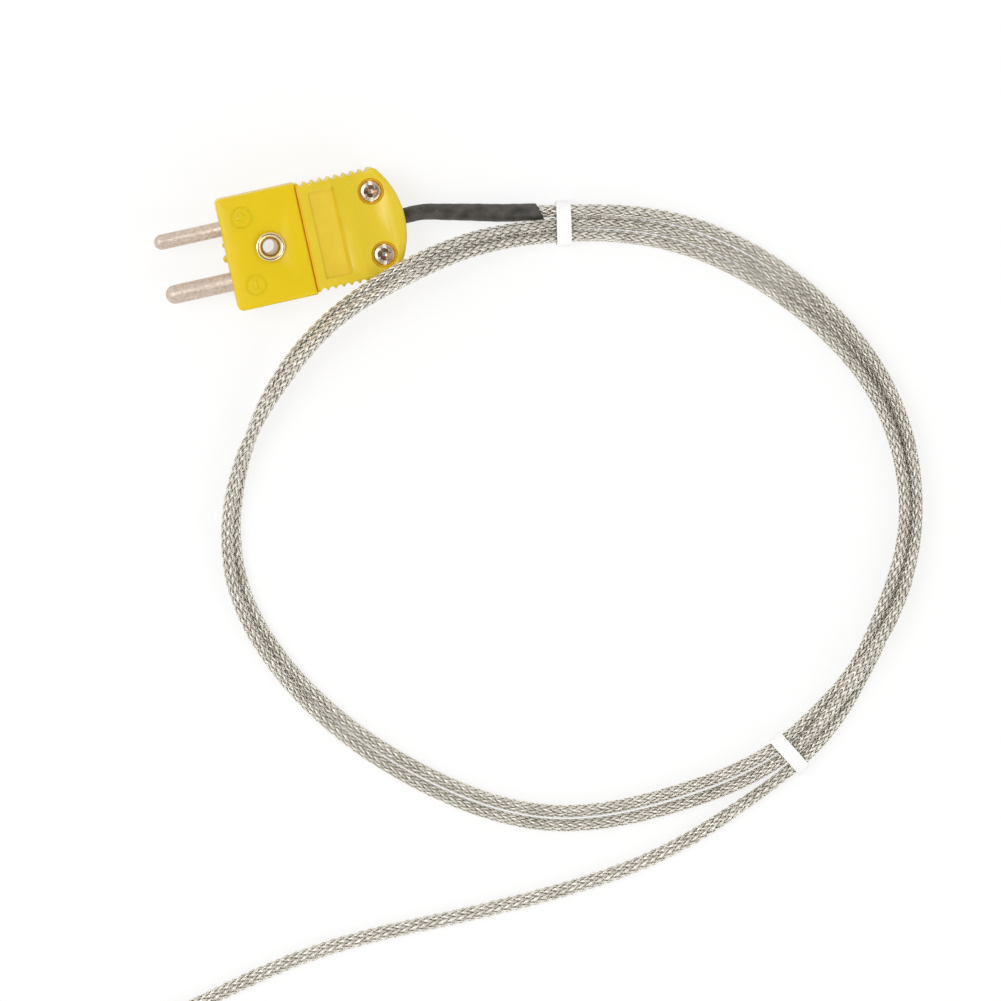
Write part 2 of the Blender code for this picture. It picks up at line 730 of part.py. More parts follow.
def terminal_hardware(label, side, wire):
    """The clamp screw, its washer, and the conductor hooked under it."""
    y = side * PIN_SPACING / 2
    top = TERMINAL_HEAD_Z + TERMINAL_SCREW_HEAD_HEIGHT
    blank = screw_blank(
        TERMINAL_SCREW_HEAD, TERMINAL_SCREW_HEAD_HEIGHT, TERMINAL_SCREW_SHANK, top,
        TERMINAL_BOTTOM + FIT,
    )
    screw = place(f"{label}_terminal_screw", blank, STEEL, (TERMINAL_X, y, 0))
    slot = cutter(f"{label}_screw_slot", driver_slot(TERMINAL_SCREW_HEAD, top), (TERMINAL_X, y, 0))
    boolean(screw, slot)

    bore = TERMINAL_SCREW_SHANK / 2 + FIT
    rim = WASHER_DIAMETER / 2
    ring = [(bore, WASHER_Z), (rim, WASHER_Z), (rim, WASHER_Z + WASHER_THICKNESS),
            (bore, WASHER_Z + WASHER_THICKNESS)]
    place(f"{label}_washer", turned(ring, 24, closed=True), STEEL, (TERMINAL_X, y, 0))

    radius = CONDUCTOR_DIAMETER / 2
    hook = TERMINAL_SCREW_SHANK / 2 + FIT + radius
    turns = [math.radians(-105 - 29 * k) for k in range(8)]
    loop = [
        (TERMINAL_X + hook * math.cos(a), side * (PIN_SPACING / 2 + hook * math.sin(a)), CONDUCTOR_Z)
        for a in turns
    ]
    start = CABLE_START_X - FIT
    lift = TERMINAL_X + TERMINAL_LENGTH / 2 + FIT
    lead = [
        (start, side * CABLE_THICKNESS / 4, MID_Z),
        ((2 * start + lift) / 3, side * CABLE_THICKNESS / 3, (2 * MID_Z + CONDUCTOR_Z) / 3),
        (lift, side * (PIN_SPACING / 2 - hook) * 0.72, CONDUCTOR_Z),
    ]
    tube(f"{label}_conductor", evenly(smooth_curve(lead + loop), CONDUCTOR_POINTS), radius, wire)


def cap_screw(index, y):
    top = CAP_HEAD_Z + CAP_SCREW_HEAD_HEIGHT
    blank = screw_blank(
        CAP_SCREW_HEAD, CAP_SCREW_HEAD_HEIGHT, CAP_SCREW_SHANK, top, BOSS_FLOOR + FIT
    )
    screw = place(f"cap_screw_{index}", blank, STEEL, (CAP_SCREW_X, y, 0))
    for turn, reach in ((0, CAP_SCREW_HEAD), (math.pi / 2, CAP_SCREW_HEAD * 0.32)):
        slot = driver_slot(reach, top)
        name = f"cap_screw_{index}_recess_{'slot' if turn == 0 else 'cross'}"
        boolean(screw, cutter(name, slot, (CAP_SCREW_X, y, 0), (0, 0, turn + math.radians(20))))
    return screw


def plug():
    bores = pin_bores()
    pockets = terminal_pockets()
    cable = cable_bores()
    rivet = eyelet_bore()
    screws = cap_screw_bores()
    grooves = flutes()
    base_shell([*bores, *pockets, *cable, rivet, *screws, grooves])
    front_cover([*bores, rivet])
    rear_cap([*bores, *pockets, *cable, *screws, grooves])
    rivet_eyelet()
    for label, (side, diameter, wire) in SIDES.items():
        contact_pin(label, side, diameter)
        terminal_hardware(label, side, wire)
    for k, y in enumerate((CAP_SCREW_SPACING / 2, -CAP_SCREW_SPACING / 2)):
        cap_screw(k + 1, y)


def cable_route():
    """All the route's points from the housing's mouth to the stowed coil."""
    legs = (
        FIRST_LEG, FIRST_PASS, FIRST_RETURN, SECOND_PASS, SECOND_RETURN, THIRD_PASS, TAIL,
    )
    return [route_point(point) for leg in legs for point in leg]


def sleeve_and_cable():
    """The braided cable out of its grip, and the sleeve over its first stretch."""
    inside = [Vector((CABLE_START_X, 0, MID_Z)), Vector((REAR_X - SLEEVE_GRIP, 0, MID_Z))]
    stations = span_points(smooth_curve(inside + cable_route()))
    tube("cable", stations, CABLE_THICKNESS / 2, BRAID)
    shape = hollow_tube(
        stations[1 : len(FIRST_LEG) + 2], SLEEVE_DIAMETER / 2, CABLE_THICKNESS / 2 + FIT, 16,
        slant=-SLEEVE_SLANT,
    )
    place("heat_shrink_sleeve", shape, RUBBER)


def tie_band(name, outer, middle, inner):
    """A strap round three strands that lie side by side, given one route point of each."""
    across = route_point(outer) - route_point(inner)
    centre = (route_point(outer) + route_point(inner)) / 2
    centre.z = route_point(middle).z
    half_width = across.length / 2 + CABLE_THICKNESS / 2 + 1.5 * FIT
    half_height = CABLE_WIDTH / 2 + FIT / 2
    shape = band(half_width, half_height, half_height - FIT, TIE_THICKNESS, TIE_LENGTH)
    place(name, shape, NYLON, centre, (0, 0, math.atan2(across.y, across.x) - math.pi / 2))


def coil_frame():
    """The coil's centre and the angle at which the cable meets it, from the route's end."""
    end = route_point(TAIL[-1])
    along = (end - route_point(TAIL[-3])).normalized()
    inward = Vector((-along.y, along.x, 0)).normalized()
    centre = end + inward * (COIL_OUTER + FIT + CABLE_THICKNESS / 2)
    return Vector((centre.x, centre.y, 0))


def stowed_coil():
    """The part of the cable that the loop does not use, wound up and tied, as one turned ring."""
    centre = coil_frame()
    corner = CABLE_THICKNESS / 3
    low = COIL_BOTTOM
    high = COIL_BOTTOM + COIL_HEIGHT
    profile = []
    corners = (
        (COIL_OUTER - corner, low + corner, -90), (COIL_OUTER - corner, high - corner, 0),
        (COIL_INNER + corner, high - corner, 90), (COIL_INNER + corner, low + corner, 180),
    )
    for r, z, start in corners:
        profile += arc((r, z), corner, start, start + 90, 3)
    place("stowed_coil", turned(profile, 56, closed=True), BRAID, centre)

    half_width = (COIL_OUTER - COIL_INNER) / 2 + FIT
    half_height = COIL_HEIGHT / 2 + FIT
    shape = band(half_width, half_height, corner + FIT, TIE_THICKNESS, TIE_LENGTH)
    middle = (COIL_OUTER + COIL_INNER) / 2
    spot = centre + Vector((middle, 0, COIL_BOTTOM + COIL_HEIGHT / 2))
    place("coil_tie", shape, NYLON, spot, (0, 0, math.pi / 2))


def sensing_tip():
    """A stainless tube closed at its tip and rolled down on the cable, with the junction inside."""
    centre = coil_frame()
    y = centre.y - COIL_OUTER - FIT - CABLE_THICKNESS / 2
    radius = PROBE_DIAMETER / 2
    z = radius + FIT
    mouth = centre.x + COIL_EXIT_LENGTH
    inner = radius - PROBE_WALL
    neck = CABLE_THICKNESS / 2 + FIT
    tip = mouth + PROBE_LENGTH
    groove = PROBE_WALL * 0.8
    crimp_x = mouth + CABLE_IN_PROBE / 2
    dome = [(radius * math.cos(a), tip - radius + radius * math.sin(a)) for a in
            (math.pi / 2 * k / 6 for k in range(7))]
    dome[-1] = (0, tip)
    crimps = []
    for x in (crimp_x - 2 * PROBE_WALL * 2, crimp_x + 2 * PROBE_WALL * 2):
        crimps += [(radius, x - PROBE_WALL), (radius - groove, x), (radius, x + PROBE_WALL)]
    bore_end = tip - radius
    profile = (
        [(neck, mouth), (radius, mouth)] + crimps + dome
        + [(0, bore_end), (inner, bore_end), (inner, mouth + CABLE_IN_PROBE)]
        + [(neck, mouth + CABLE_IN_PROBE)]
    )
    place("probe_sheath", turned(profile, 28, closed=True), SHEATH, (0, y, z), ALONG_X)

    end = [
        (centre.x, y, z),
        (centre.x + COIL_EXIT_LENGTH / 2, y, z),
        (mouth + CABLE_IN_PROBE - FIT, y, z),
    ]
    tube("cable_end", end, CABLE_THICKNESS / 2, BRAID)

    insulator = mouth + CABLE_IN_PROBE + FIT
    core = rod(inner - FIT, insulator, insulator + INSULATOR_LENGTH, 20)
    place("ceramic_insulator", core, CERAMIC, (0, y, z), ALONG_X)
    bead = JUNCTION_DIAMETER / 2
    low = insulator + INSULATOR_LENGTH + FIT
    ball = [(bead * math.sin(a), low + bead * (1 - math.cos(a))) for a in
            (math.pi * k / 10 for k in range(11))]
    ball[0] = (0, low)
    ball[-1] = (0, low + 2 * bead)
    place("hot_junction", turned(ball, 16), NICKEL, (0, y, z), ALONG_X)


def main():
    clear_scene()
    plug()
    sleeve_and_cable()
    tie_band("tie_band_1", FIRST_PASS[0], THIRD_PASS[0], SECOND_PASS[0])
    tie_band("tie_band_2", THIRD_PASS[-1], FIRST_PASS[-1], SECOND_PASS[-1])
    stowed_coil()
    sensing_tip()


main()
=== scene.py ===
"""A thermocouple probe on a white table: a yellow two-part plug with round pins, a flat
steel-braided cable wound in a loop with two white ties, and the closed steel tip on its far end.

Metres, +Z up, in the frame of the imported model. The plug lies at the origin, its cable towards +X.
"""

import math

import bmesh
import bpy
import numpy as np
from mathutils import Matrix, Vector


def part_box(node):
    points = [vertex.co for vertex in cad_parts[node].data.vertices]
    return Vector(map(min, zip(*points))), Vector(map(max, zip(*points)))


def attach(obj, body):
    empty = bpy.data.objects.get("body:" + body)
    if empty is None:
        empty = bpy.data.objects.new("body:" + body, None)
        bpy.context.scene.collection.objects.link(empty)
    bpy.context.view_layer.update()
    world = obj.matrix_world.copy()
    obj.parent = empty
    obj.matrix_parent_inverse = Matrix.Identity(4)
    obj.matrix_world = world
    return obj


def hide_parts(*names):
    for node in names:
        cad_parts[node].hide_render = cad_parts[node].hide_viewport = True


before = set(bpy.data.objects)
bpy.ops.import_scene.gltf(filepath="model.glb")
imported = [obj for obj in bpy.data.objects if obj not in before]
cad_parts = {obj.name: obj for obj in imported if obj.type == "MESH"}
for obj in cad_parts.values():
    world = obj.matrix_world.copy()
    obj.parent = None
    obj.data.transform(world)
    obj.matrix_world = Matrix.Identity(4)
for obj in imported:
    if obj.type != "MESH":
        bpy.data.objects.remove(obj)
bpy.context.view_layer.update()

ROOT = "root"

# Plug
REAR_X = 0.0262
FRONT_X = -0.0120
SEAM_X = 0.0049
SEAM_DRAW = 0.00024
MID_Z = 0.00635
TOP_Z = 0.0127
EYELET_X = -0.0027
CAP_SCREW_X = 0.0203
CAP_SCREW_SPACING = 0.0135
CAP_SCREW_TOP = 0.0120
RIDGE_LOW = 0.0131
RIDGE_CREST = 0.0156
RIDGE_RISE = 0.00060
# Edges of the painted recess shade behind the seam and of the painted shadow on the label window's
# floor.
SEAM_SHADE_LIMIT = 0.00548
WINDOW_SHADE = 0.01225
WINDOW_X = (0.0073, 0.0128)
MARK_X = -0.0073
MARK_Y = 0.0072
MARK_STROKE = 0.0007
MARK_BAR = 0.0021
CROSS_REACH = 0.00140
CROSS_DEPTH = (-0.00070, -0.00008)
SLOT_FLOOR = (-0.00052, -0.00038)

# Cable
CABLE_WIDE = 0.0033
CABLE_THIN = 0.00276
CABLE_START_X = 0.0158
PASSAGE = 0.0060
BRAID_LAY = 0.0204
CARRIERS = 10
CARRIER_WIDTH = 0.00072
CARRIER_LIFT = 0.00021
CARRIER_CROWN = 0.00017
CORE_INSET = 0.00036
CORE_STEP = 0.0016
BRAID_START = 0.0340
BRAID_END_GAP = 0.0006
TONE_SHIFT = 37.3
OVAL_STEPS = 720
SPLINE_STEPS = 40
LINE_STEP = 0.0004
SLEEVE_RADIUS = 0.00175
SLEEVE_WALL = 0.00028
SLEEVE_SLANT = 0.48
SLEEVE_LENGTH = 0.0294
SLEEVE_HIDDEN = 0.0055

# Stowed coil and tip
COIL_EDGE = 0.02205
OUTER_LANE = 0.01935
INNER_LANE = 0.01675
LANE_Z = 0.00275
HUMP = 0.00285
TIP_REACH = 0.0100
TIP_Z = 0.0028
TIP_RADIUS = 0.0025
TIP_LENGTH = 0.0400
TIP_WALL = 0.0004
TIP_NECK = 0.00178
CRIMPS = (0.0024, 0.0056)
CRIMP_DEPTH = 0.00034
CABLE_IN_TIP = 0.0080

# Laps of the coil between which the cable draws in, rises, changes lane and comes out
COIL_KNOTS = 45
DRAW_IN = (0.0, 0.16)
RISE_TO_LANE = (0.0, 0.2)
CHANGE_LANE = (1.11, 1.28)
TURN_FLAT = (1.97, 2.09)
CLIMB = (1.98, 2.12)
COME_OUT = (2.10, 2.32)
TURN_BACK = (2.33, 2.43)

# View, table and light
SENSOR_WIDTH = 36
LENS = 195.1
CAMERA_PLACE = (-0.02812, 0.04331, 1.14688)
CAMERA_TURN = (-0.079221, -0.072435, -0.216213)
TABLE_SIZE = 6
TABLE_MIDDLE = (0.03, -0.07, 0)
TABLE_GLOW = 0.76
WHITE = (1, 1, 1, 1)
FILL = 0.74
OVERHEAD = 0.16
LAMP_AIM = (0.03, -0.06, 0)
LAMPS = (
    ("upper left lamp", (-0.52, 0.20, 1.05), 0.55, 5.0),
    ("lower right lamp", (0.55, -0.80, 0.80), 0.7, 2.6),
)

# The cable's route: distance behind the housing, side, height over the table
FIRST_LEG = [
    (0.0000, 0.0000, 0.00635),
    (0.0038, 0.0000, 0.00620),
    (0.0077, -0.0008, 0.00560),
    (0.0139, -0.0023, 0.00440),
    (0.0212, -0.0041, 0.00315),
    (0.0288, -0.0055, 0.00260),
]
FIRST_PASS = [
    (0.0333, -0.0063, 0.00295),
    (0.0577, -0.0139, 0.00190),
    (0.0803, -0.0330, 0.00210),
    (0.0938, -0.0606, 0.00420),
    (0.0913, -0.0919, 0.00470),
    (0.0834, -0.1062, 0.00510),
    (0.0731, -0.1169, 0.00475),
    (0.0650, -0.1241, 0.00355),
    (0.0560, -0.1300, 0.00240),
]
FIRST_RETURN = [
    (0.0309, -0.1358, 0.00165),
    (0.0023, -0.1336, 0.00165),
    (-0.0226, -0.1190, 0.00165),
    (-0.0423, -0.0966, 0.00175),
    (-0.0520, -0.0663, 0.00390),
    (-0.0442, -0.0421, 0.00560),
    (-0.0310, -0.0273, 0.00890),
    (-0.0178, -0.0178, 0.01310),
    (-0.0042, -0.0130, 0.01530),
    (0.0137, -0.0101, 0.00900),
    (0.0243, -0.0105, 0.00470),
]
SECOND_PASS = [
    (0.0323, -0.0116, 0.00315),
    (0.0547, -0.0187, 0.00190),
    (0.0758, -0.0358, 0.00210),
    (0.0903, -0.0610, 0.00420),
    (0.0888, -0.0911, 0.00470),
    (0.0811, -0.1050, 0.00360),
    (0.0723, -0.1163, 0.00180),
    (0.0637, -0.1225, 0.00190),
    (0.0546, -0.1275, 0.00240),
]
SECOND_RETURN = [
    (0.0305, -0.1327, 0.00165),
    (0.0032, -0.1307, 0.00165),
    (-0.0206, -0.1168, 0.00165),
    (-0.0398, -0.0956, 0.00165),
    (-0.0500, -0.0666, 0.00165),
    (-0.0436, -0.0425, 0.00210),
    (-0.0321, -0.0265, 0.00560),
    (-0.0188, -0.0166, 0.01060),
    (-0.0052, -0.0108, 0.01400),
    (0.0133, -0.0075, 0.00920),
    (0.0244, -0.0080, 0.00490),
]
THIRD_PASS = [
    (0.0328, -0.0090, 0.00320),
    (0.0562, -0.0163, 0.00180),
    (0.0781, -0.0345, 0.00165),
    (0.0924, -0.0611, 0.00165),
    (0.0904, -0.0919, 0.00165),
    (0.0834, -0.1064, 0.00165),
    (0.0744, -0.1182, 0.00170),
    (0.0667, -0.1262, 0.00195),
    (0.0574, -0.1325, 0.00240),
]
TAIL = [
    (0.0445, -0.1385, 0.00165),
    (0.0314, -0.1434, 0.00125),
    (0.0153, -0.1469, 0.00125),
    (-0.0026, -0.1483, 0.00125),
    (-0.0213, -0.1486, 0.00125),
    (-0.0399, -0.1485, 0.00125),
    (-0.0577, -0.1500, 0.00125),
    (-0.0726, -0.1530, 0.00125),
    (-0.0830, -0.1553, 0.00140),
    (-0.0899, -0.1569, 0.00165),
]


# ---- hands ----

def rest():
    """Back to object mode with nothing selected."""
    if bpy.context.object and bpy.context.object.mode != "OBJECT":
        bpy.ops.object.mode_set(mode="OBJECT")
    bpy.ops.object.select_all(action="DESELECT")


def take(piece):
    """Select one piece alone and make it the active one."""
    rest()
    piece.select_set(True)
    bpy.context.view_layer.objects.active = piece
    return piece


def add(name, data):
    """A new object in the scene, made from a mesh, a camera or a lamp."""
    piece = bpy.data.objects.new(name, data)
    bpy.context.scene.collection.objects.link(piece)
    return piece


def named(name):
    """The primitive that was just made, under its own name."""
    piece = bpy.context.object
    piece.name = name
    piece.data.name = name
    return piece


def edit(piece):
    """Edit mode on one piece, selecting by corner."""
    take(piece)
    bpy.ops.object.mode_set(mode="EDIT")
    bpy.ops.mesh.select_mode(type="VERT")


def choose(piece, kind, test):
    """In edit mode, select the verts, edges or faces that pass a test on place or direction."""
    mode = {"verts": "VERT", "edges": "EDGE", "faces": "FACE"}[kind]
    bpy.ops.mesh.select_mode(type=mode)
    bpy.ops.mesh.select_all(action="DESELECT")
    shape = bmesh.from_edit_mesh(piece.data)
    for item in getattr(shape, kind):
        if test(item):
            item.select_set(True)
    bmesh.update_edit_mesh(piece.data)


def apply_modifier(piece, kind, **settings):
    """Give a piece a modifier with its settings, and apply it."""
    take(piece)
    modifier = piece.modifiers.new(kind.lower(), kind)
    for key, value in settings.items():
        setattr(modifier, key, value)
    bpy.ops.object.modifier_apply(modifier=modifier.name)


def cut(piece, other, operation="DIFFERENCE"):
    """Cut a piece with another, or join the two, and drop the other."""
    apply_modifier(piece, "BOOLEAN", object=other, operation=operation, solver="EXACT")
    bpy.data.objects.remove(other, do_unlink=True)


def settle(piece, location=(0, 0, 0), turn=(0, 0, 0)):
    """Move and turn a piece to its place, and leave that place in its mesh."""
    take(piece)
    piece.location = location
    piece.rotation_euler = turn
    bpy.ops.object.transform_apply(location=True, rotation=True, scale=True)
    return piece


def smooth(piece, degrees=35):
    """Shade smooth across edges up to this angle."""
    take(piece)
    bpy.ops.object.shade_smooth_by_angle(angle=math.radians(degrees))
    return piece


def dress(piece, material, slot, *nodes):
    """Give a piece its material, let it ride, and hide the nodes that it stands for; the slot is not
    used.
    """
    piece.data.materials.clear()
    piece.data.materials.append(material)
    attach(piece, ROOT)
    if nodes:
        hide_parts(*nodes)
    return piece


def lathe(name, profile, steps, location=(0, 0, 0), turn=(0, 0, 0), closed=False):
    """Extrude a profile of (radius, height) corners and spin it once round the upright axis."""
    rest()
    bpy.ops.mesh.primitive_plane_add(size=0.001, location=(0, 0, 0))
    piece = named(name)
    edit(piece)
    bpy.ops.mesh.select_all(action="SELECT")
    bpy.ops.mesh.merge(type="CENTER")
    radius, height = profile[0]
    bpy.ops.transform.translate(value=(radius, 0, height))
    for (r0, h0), (r1, h1) in zip(profile, profile[1:]):
        bpy.ops.mesh.extrude_region_move(TRANSFORM_OT_translate={"value": (r1 - r0, 0, h1 - h0)})
    if closed:
        choose(piece, "verts", lambda v: len(v.link_edges) == 1)
        bpy.ops.mesh.edge_face_add()
    bpy.ops.mesh.select_all(action="SELECT")
    bpy.ops.mesh.spin(steps=steps, angle=2 * math.pi, center=(0, 0, 0), axis=(0, 0, 1))
    bpy.ops.mesh.select_all(action="SELECT")
    bpy.ops.mesh.remove_doubles(threshold=1e-6)
    bpy.ops.mesh.normals_make_consistent(inside=False)
    rest()
    return settle(piece, location, turn)


def block(name, size, location=(0, 0, 0)):
    """A cube scaled to size at its place."""
    rest()
    bpy.ops.mesh.primitive_cube_add(size=1, location=location)
    piece = named(name)
    piece.scale = size
    bpy.ops.object.transform_apply(location=True, rotation=True, scale=True)
    return piece


def soften_rim(moulding, width, test):
    """A wider round on the top edges that pass a test on their middle."""
    edit(moulding)
    choose(
        moulding, "edges",
        lambda e: min(v.co.z for v in e.verts) > TOP_Z - 0.00001
        and e.calc_face_angle(0) > 0.8 and test((e.verts[0].co + e.verts[1].co) / 2),
    )
    bpy.ops.mesh.bevel(offset=width, segments=4, affect="EDGES", clamp_overlap=False)
    rest()


def moulded_copy(name, node, edge, segments=2, rim=0.0, test=None):
    """A merged copy of a model's node, with its sharp edges rounded as a mould leaves them."""
    piece = add(name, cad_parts[node].data.copy())
    edit(piece)
    bpy.ops.mesh.select_all(action="SELECT")
    bpy.ops.mesh.remove_doubles(threshold=2e-6)
    bpy.ops.mesh.customdata_custom_splitnormals_clear()
    bpy.ops.mesh.dissolve_limited(angle_limit=math.radians(0.6))
    rest()
    if rim:
        soften_rim(piece, rim, test)
    apply_modifier(
        piece, "BEVEL", width=edge, segments=segments, limit_method="ANGLE",
        angle_limit=math.radians(38), harden_normals=False, use_clamp_overlap=True,
    )
    return smooth(piece, 38)


# ---- materials ----

def new_group(name, inputs, outputs):
    """A node group: inputs by name, a vector where there is no value, and numbers as outputs."""
    group = bpy.data.node_groups.new(name, "ShaderNodeTree")
    for label, value in inputs.items():
        kind = "NodeSocketVector" if value is None else "NodeSocketFloat"
        socket = group.interface.new_socket(label, in_out="INPUT", socket_type=kind)
        if value is not None:
            socket.default_value = value
    for label in outputs:
        group.interface.new_socket(label, in_out="OUTPUT", socket_type="NodeSocketFloat")
    return group, group.nodes.new("NodeGroupInput"), group.nodes.new("NodeGroupOutput")


def set_sockets(node, values):
    """Set a node's sockets, by name or number."""
    for socket, value in values.items():
        node.inputs[socket].default_value = value
    return node


def put(tree, kind, sockets=None, **settings):
    """A new node, with its sockets' values and its settings."""
    node = tree.nodes.new(kind)
    for key, value in settings.items():
        setattr(node, key, value)
    return set_sockets(node, sockets or {})


def join(tree, *pairs):
    """Link outputs to inputs."""
    for source, target in pairs:
        tree.links.new(source, target)


def surface_group():
    """Fine grain, slow drift and rare marks of any worked surface, from its Object coordinates."""
    group, given, out = new_group(
        "surface marks",
        {"Coordinate": None, "Grain Scale": 4000.0, "Drift Scale": 120.0, "Mark Scale": 500.0},
        ("Grain", "Drift", "Marks"),
    )
    grain = put(group, "ShaderNodeTexNoise", sockets={"Detail": 3.0, "Roughness": 0.6})
    drift = put(group, "ShaderNodeTexNoise", sockets={"Detail": 2.0, "Roughness": 0.5})
    spots = put(group, "ShaderNodeTexNoise", sockets={"Detail": 1.0, "Roughness": 0.4})
    rare = put(group, "ShaderNodeMapRange", sockets={"From Min": 0.72, "From Max": 0.80})
    join(
        group,
        (given.outputs["Coordinate"], grain.inputs["Vector"]),
        (given.outputs["Coordinate"], drift.inputs["Vector"]),
        (given.outputs["Coordinate"], spots.inputs["Vector"]),
        (given.outputs["Grain Scale"], grain.inputs["Scale"]),
        (given.outputs["Drift Scale"], drift.inputs["Scale"]),
        (given.outputs["Mark Scale"], spots.inputs["Scale"]),
        (spots.outputs["Fac"], rare.inputs["Value"]),
        (grain.outputs["Fac"], out.inputs["Grain"]),
        (drift.outputs["Fac"], out.inputs["Drift"]),
        (rare.outputs["Result"], out.inputs["Marks"]),
    )
    return group


def wire_group():
    """Side-by-side round wires across a flat bundle, from its UV: height, and each wire's tone."""
    group, given, out = new_group("bundle wires", {"UV": None, "Wires": 6.0}, ("Height", "Tone"))
    split = put(group, "ShaderNodeSeparateXYZ")
    count = put(group, "ShaderNodeMath", operation="MULTIPLY")
    part = put(group, "ShaderNodeMath", operation="FRACT")
    centre = put(group, "ShaderNodeMath", operation="SUBTRACT", sockets={1: 0.5})
    square = put(group, "ShaderNodeMath", operation="POWER", sockets={1: 2.0})
    rise = put(
        group, "ShaderNodeMapRange", sockets={"From Max": 0.25, "To Min": 1.0, "To Max": 0.0}
    )
    whole = put(group, "ShaderNodeMath", operation="FLOOR")
    along = put(group, "ShaderNodeMath", operation="MULTIPLY", sockets={1: 0.35})
    step = put(group, "ShaderNodeMath", operation="FLOOR")
    spot = put(group, "ShaderNodeCombineXYZ")
    noise = put(group, "ShaderNodeTexWhiteNoise", noise_dimensions="2D")
    join(
        group,
        (given.outputs["UV"], split.inputs[0]),
        (split.outputs["X"], count.inputs[0]),
        (given.outputs["Wires"], count.inputs[1]),
        (count.outputs[0], part.inputs[0]),
        (part.outputs[0], centre.inputs[0]),
        (centre.outputs[0], square.inputs[0]),
        (square.outputs[0], rise.inputs["Value"]),
        (count.outputs[0], whole.inputs[0]),
        (split.outputs["Y"], along.inputs[0]),
        (along.outputs[0], step.inputs[0]),
        (whole.outputs[0], spot.inputs["X"]),
        (step.outputs[0], spot.inputs["Y"]),
        (spot.outputs[0], noise.inputs["Vector"]),
        (rise.outputs["Result"], out.inputs["Height"]),
        (noise.outputs["Value"], out.inputs["Tone"]),
    )
    return group


SURFACE = surface_group()
WIRES = wire_group()


def new_material(name):
    """A material, its nodes and its shader."""
    material = bpy.data.materials.new(name)
    material.use_nodes = True
    return material, material.node_tree, material.node_tree.nodes["Principled BSDF"]


def finish(
    name, low, high, rough, metallic=0.0, grain=4000.0, drift=120.0, bump=0.2, depth=0.00002,
    marks=None, mark_scale=500.0, mark_share=0.0, specular=0.5, glow=0.0,
):
    """A material whose colour drifts from low to high and whose roughness follows its grain."""
    material, tree, shader = new_material(name)
    set_sockets(shader, {
        "Metallic": metallic, "Specular IOR Level": specular, "Subsurface Weight": glow,
        "Subsurface Radius": (1.0, 0.5, 0.08), "Subsurface Scale": 0.0012,
    })
    place = put(tree, "ShaderNodeTexCoord")
    surface = put(
        tree, "ShaderNodeGroup", node_tree=SURFACE,
        sockets={"Grain Scale": grain, "Drift Scale": drift, "Mark Scale": mark_scale},
    )
    shift = put(tree, "ShaderNodeMapRange", sockets={"From Min": 0.3, "From Max": 0.7})
    colour = put(
        tree, "ShaderNodeMix", data_type="RGBA", sockets={"A": (*low, 1), "B": (*high, 1)}
    )
    fleck = put(tree, "ShaderNodeMix", data_type="RGBA", sockets={"B": (*(marks or low), 1)})
    share = put(tree, "ShaderNodeMath", operation="MULTIPLY", sockets={1: mark_share})
    gloss = put(
        tree, "ShaderNodeMapRange",
        sockets={"From Min": 0.3, "From Max": 0.7, "To Min": rough[0], "To Max": rough[1]},
    )
    relief = put(tree, "ShaderNodeBump", sockets={"Strength": bump, "Distance": depth})
    join(
        tree,
        (place.outputs["Object"], surface.inputs["Coordinate"]),
        (surface.outputs["Drift"], shift.inputs["Value"]),
        (shift.outputs["Result"], colour.inputs["Factor"]),
        (colour.outputs["Result"], fleck.inputs["A"]),
        (surface.outputs["Marks"], share.inputs[0]),
        (share.outputs[0], fleck.inputs["Factor"]),
        (fleck.outputs["Result"], shader.inputs["Base Color"]),
        (surface.outputs["Grain"], gloss.inputs["Value"]),
        (gloss.outputs["Result"], shader.inputs["Roughness"]),
        (surface.outputs["Grain"], relief.inputs["Height"]),
        (relief.outputs["Normal"], shader.inputs["Normal"]),
    )
    return material


def braid_finish():
    """Bright bundles of fine wire: stripes across each, and bundles a little apart in tone."""
    material, tree, shader = new_material("braided steel wire")
    set_sockets(shader, {"Metallic": 1.0, "Anisotropic": 0.6})
    place = put(tree, "ShaderNodeTexCoord")
    wires = put(tree, "ShaderNodeGroup", node_tree=WIRES, sockets={"Wires": 6.0})
    surface = put(
        tree, "ShaderNodeGroup", node_tree=SURFACE,
        sockets={"Grain Scale": 2500.0, "Drift Scale": 260.0, "Mark Scale": 900.0},
    )
    tone = put(tree, "ShaderNodeMath", operation="ADD")
    spread = put(tree, "ShaderNodeMapRange", sockets={"From Min": 0.35, "From Max": 1.45})
    colour = put(
        tree, "ShaderNodeMix", data_type="RGBA",
        sockets={"A": (0.62, 0.57, 0.49, 1), "B": (1.0, 0.96, 0.88, 1)},
    )
    gloss = put(tree, "ShaderNodeMapRange", sockets={"To Min": 0.36, "To Max": 0.54})
    relief = put(tree, "ShaderNodeBump", sockets={"Strength": 0.45, "Distance": 0.00004})
    across = put(tree, "ShaderNodeTangent", direction_type="UV_MAP", uv_map="bundle")
    join(
        tree,
        (across.outputs["Tangent"], shader.inputs["Tangent"]),
        (place.outputs["UV"], wires.inputs["UV"]),
        (place.outputs["Object"], surface.inputs["Coordinate"]),
        (wires.outputs["Tone"], tone.inputs[0]),
        (surface.outputs["Drift"], tone.inputs[1]),
        (tone.outputs[0], spread.inputs["Value"]),
        (spread.outputs["Result"], colour.inputs["Factor"]),
        (colour.outputs["Result"], shader.inputs["Base Color"]),
        (surface.outputs["Grain"], gloss.inputs["Value"]),
        (gloss.outputs["Result"], shader.inputs["Roughness"]),
        (wires.outputs["Height"], relief.inputs["Height"]),
        (relief.outputs["Normal"], shader.inputs["Normal"]),
    )
    return material


def moulded(name, low, high, rough, **settings):
    """A finish of the moulded plastic, which lets a little light in."""
    settings = {"grain": 5200.0, "bump": 0.25, "glow": 0.30, **settings}
    return finish(name, low, high, rough, **settings)


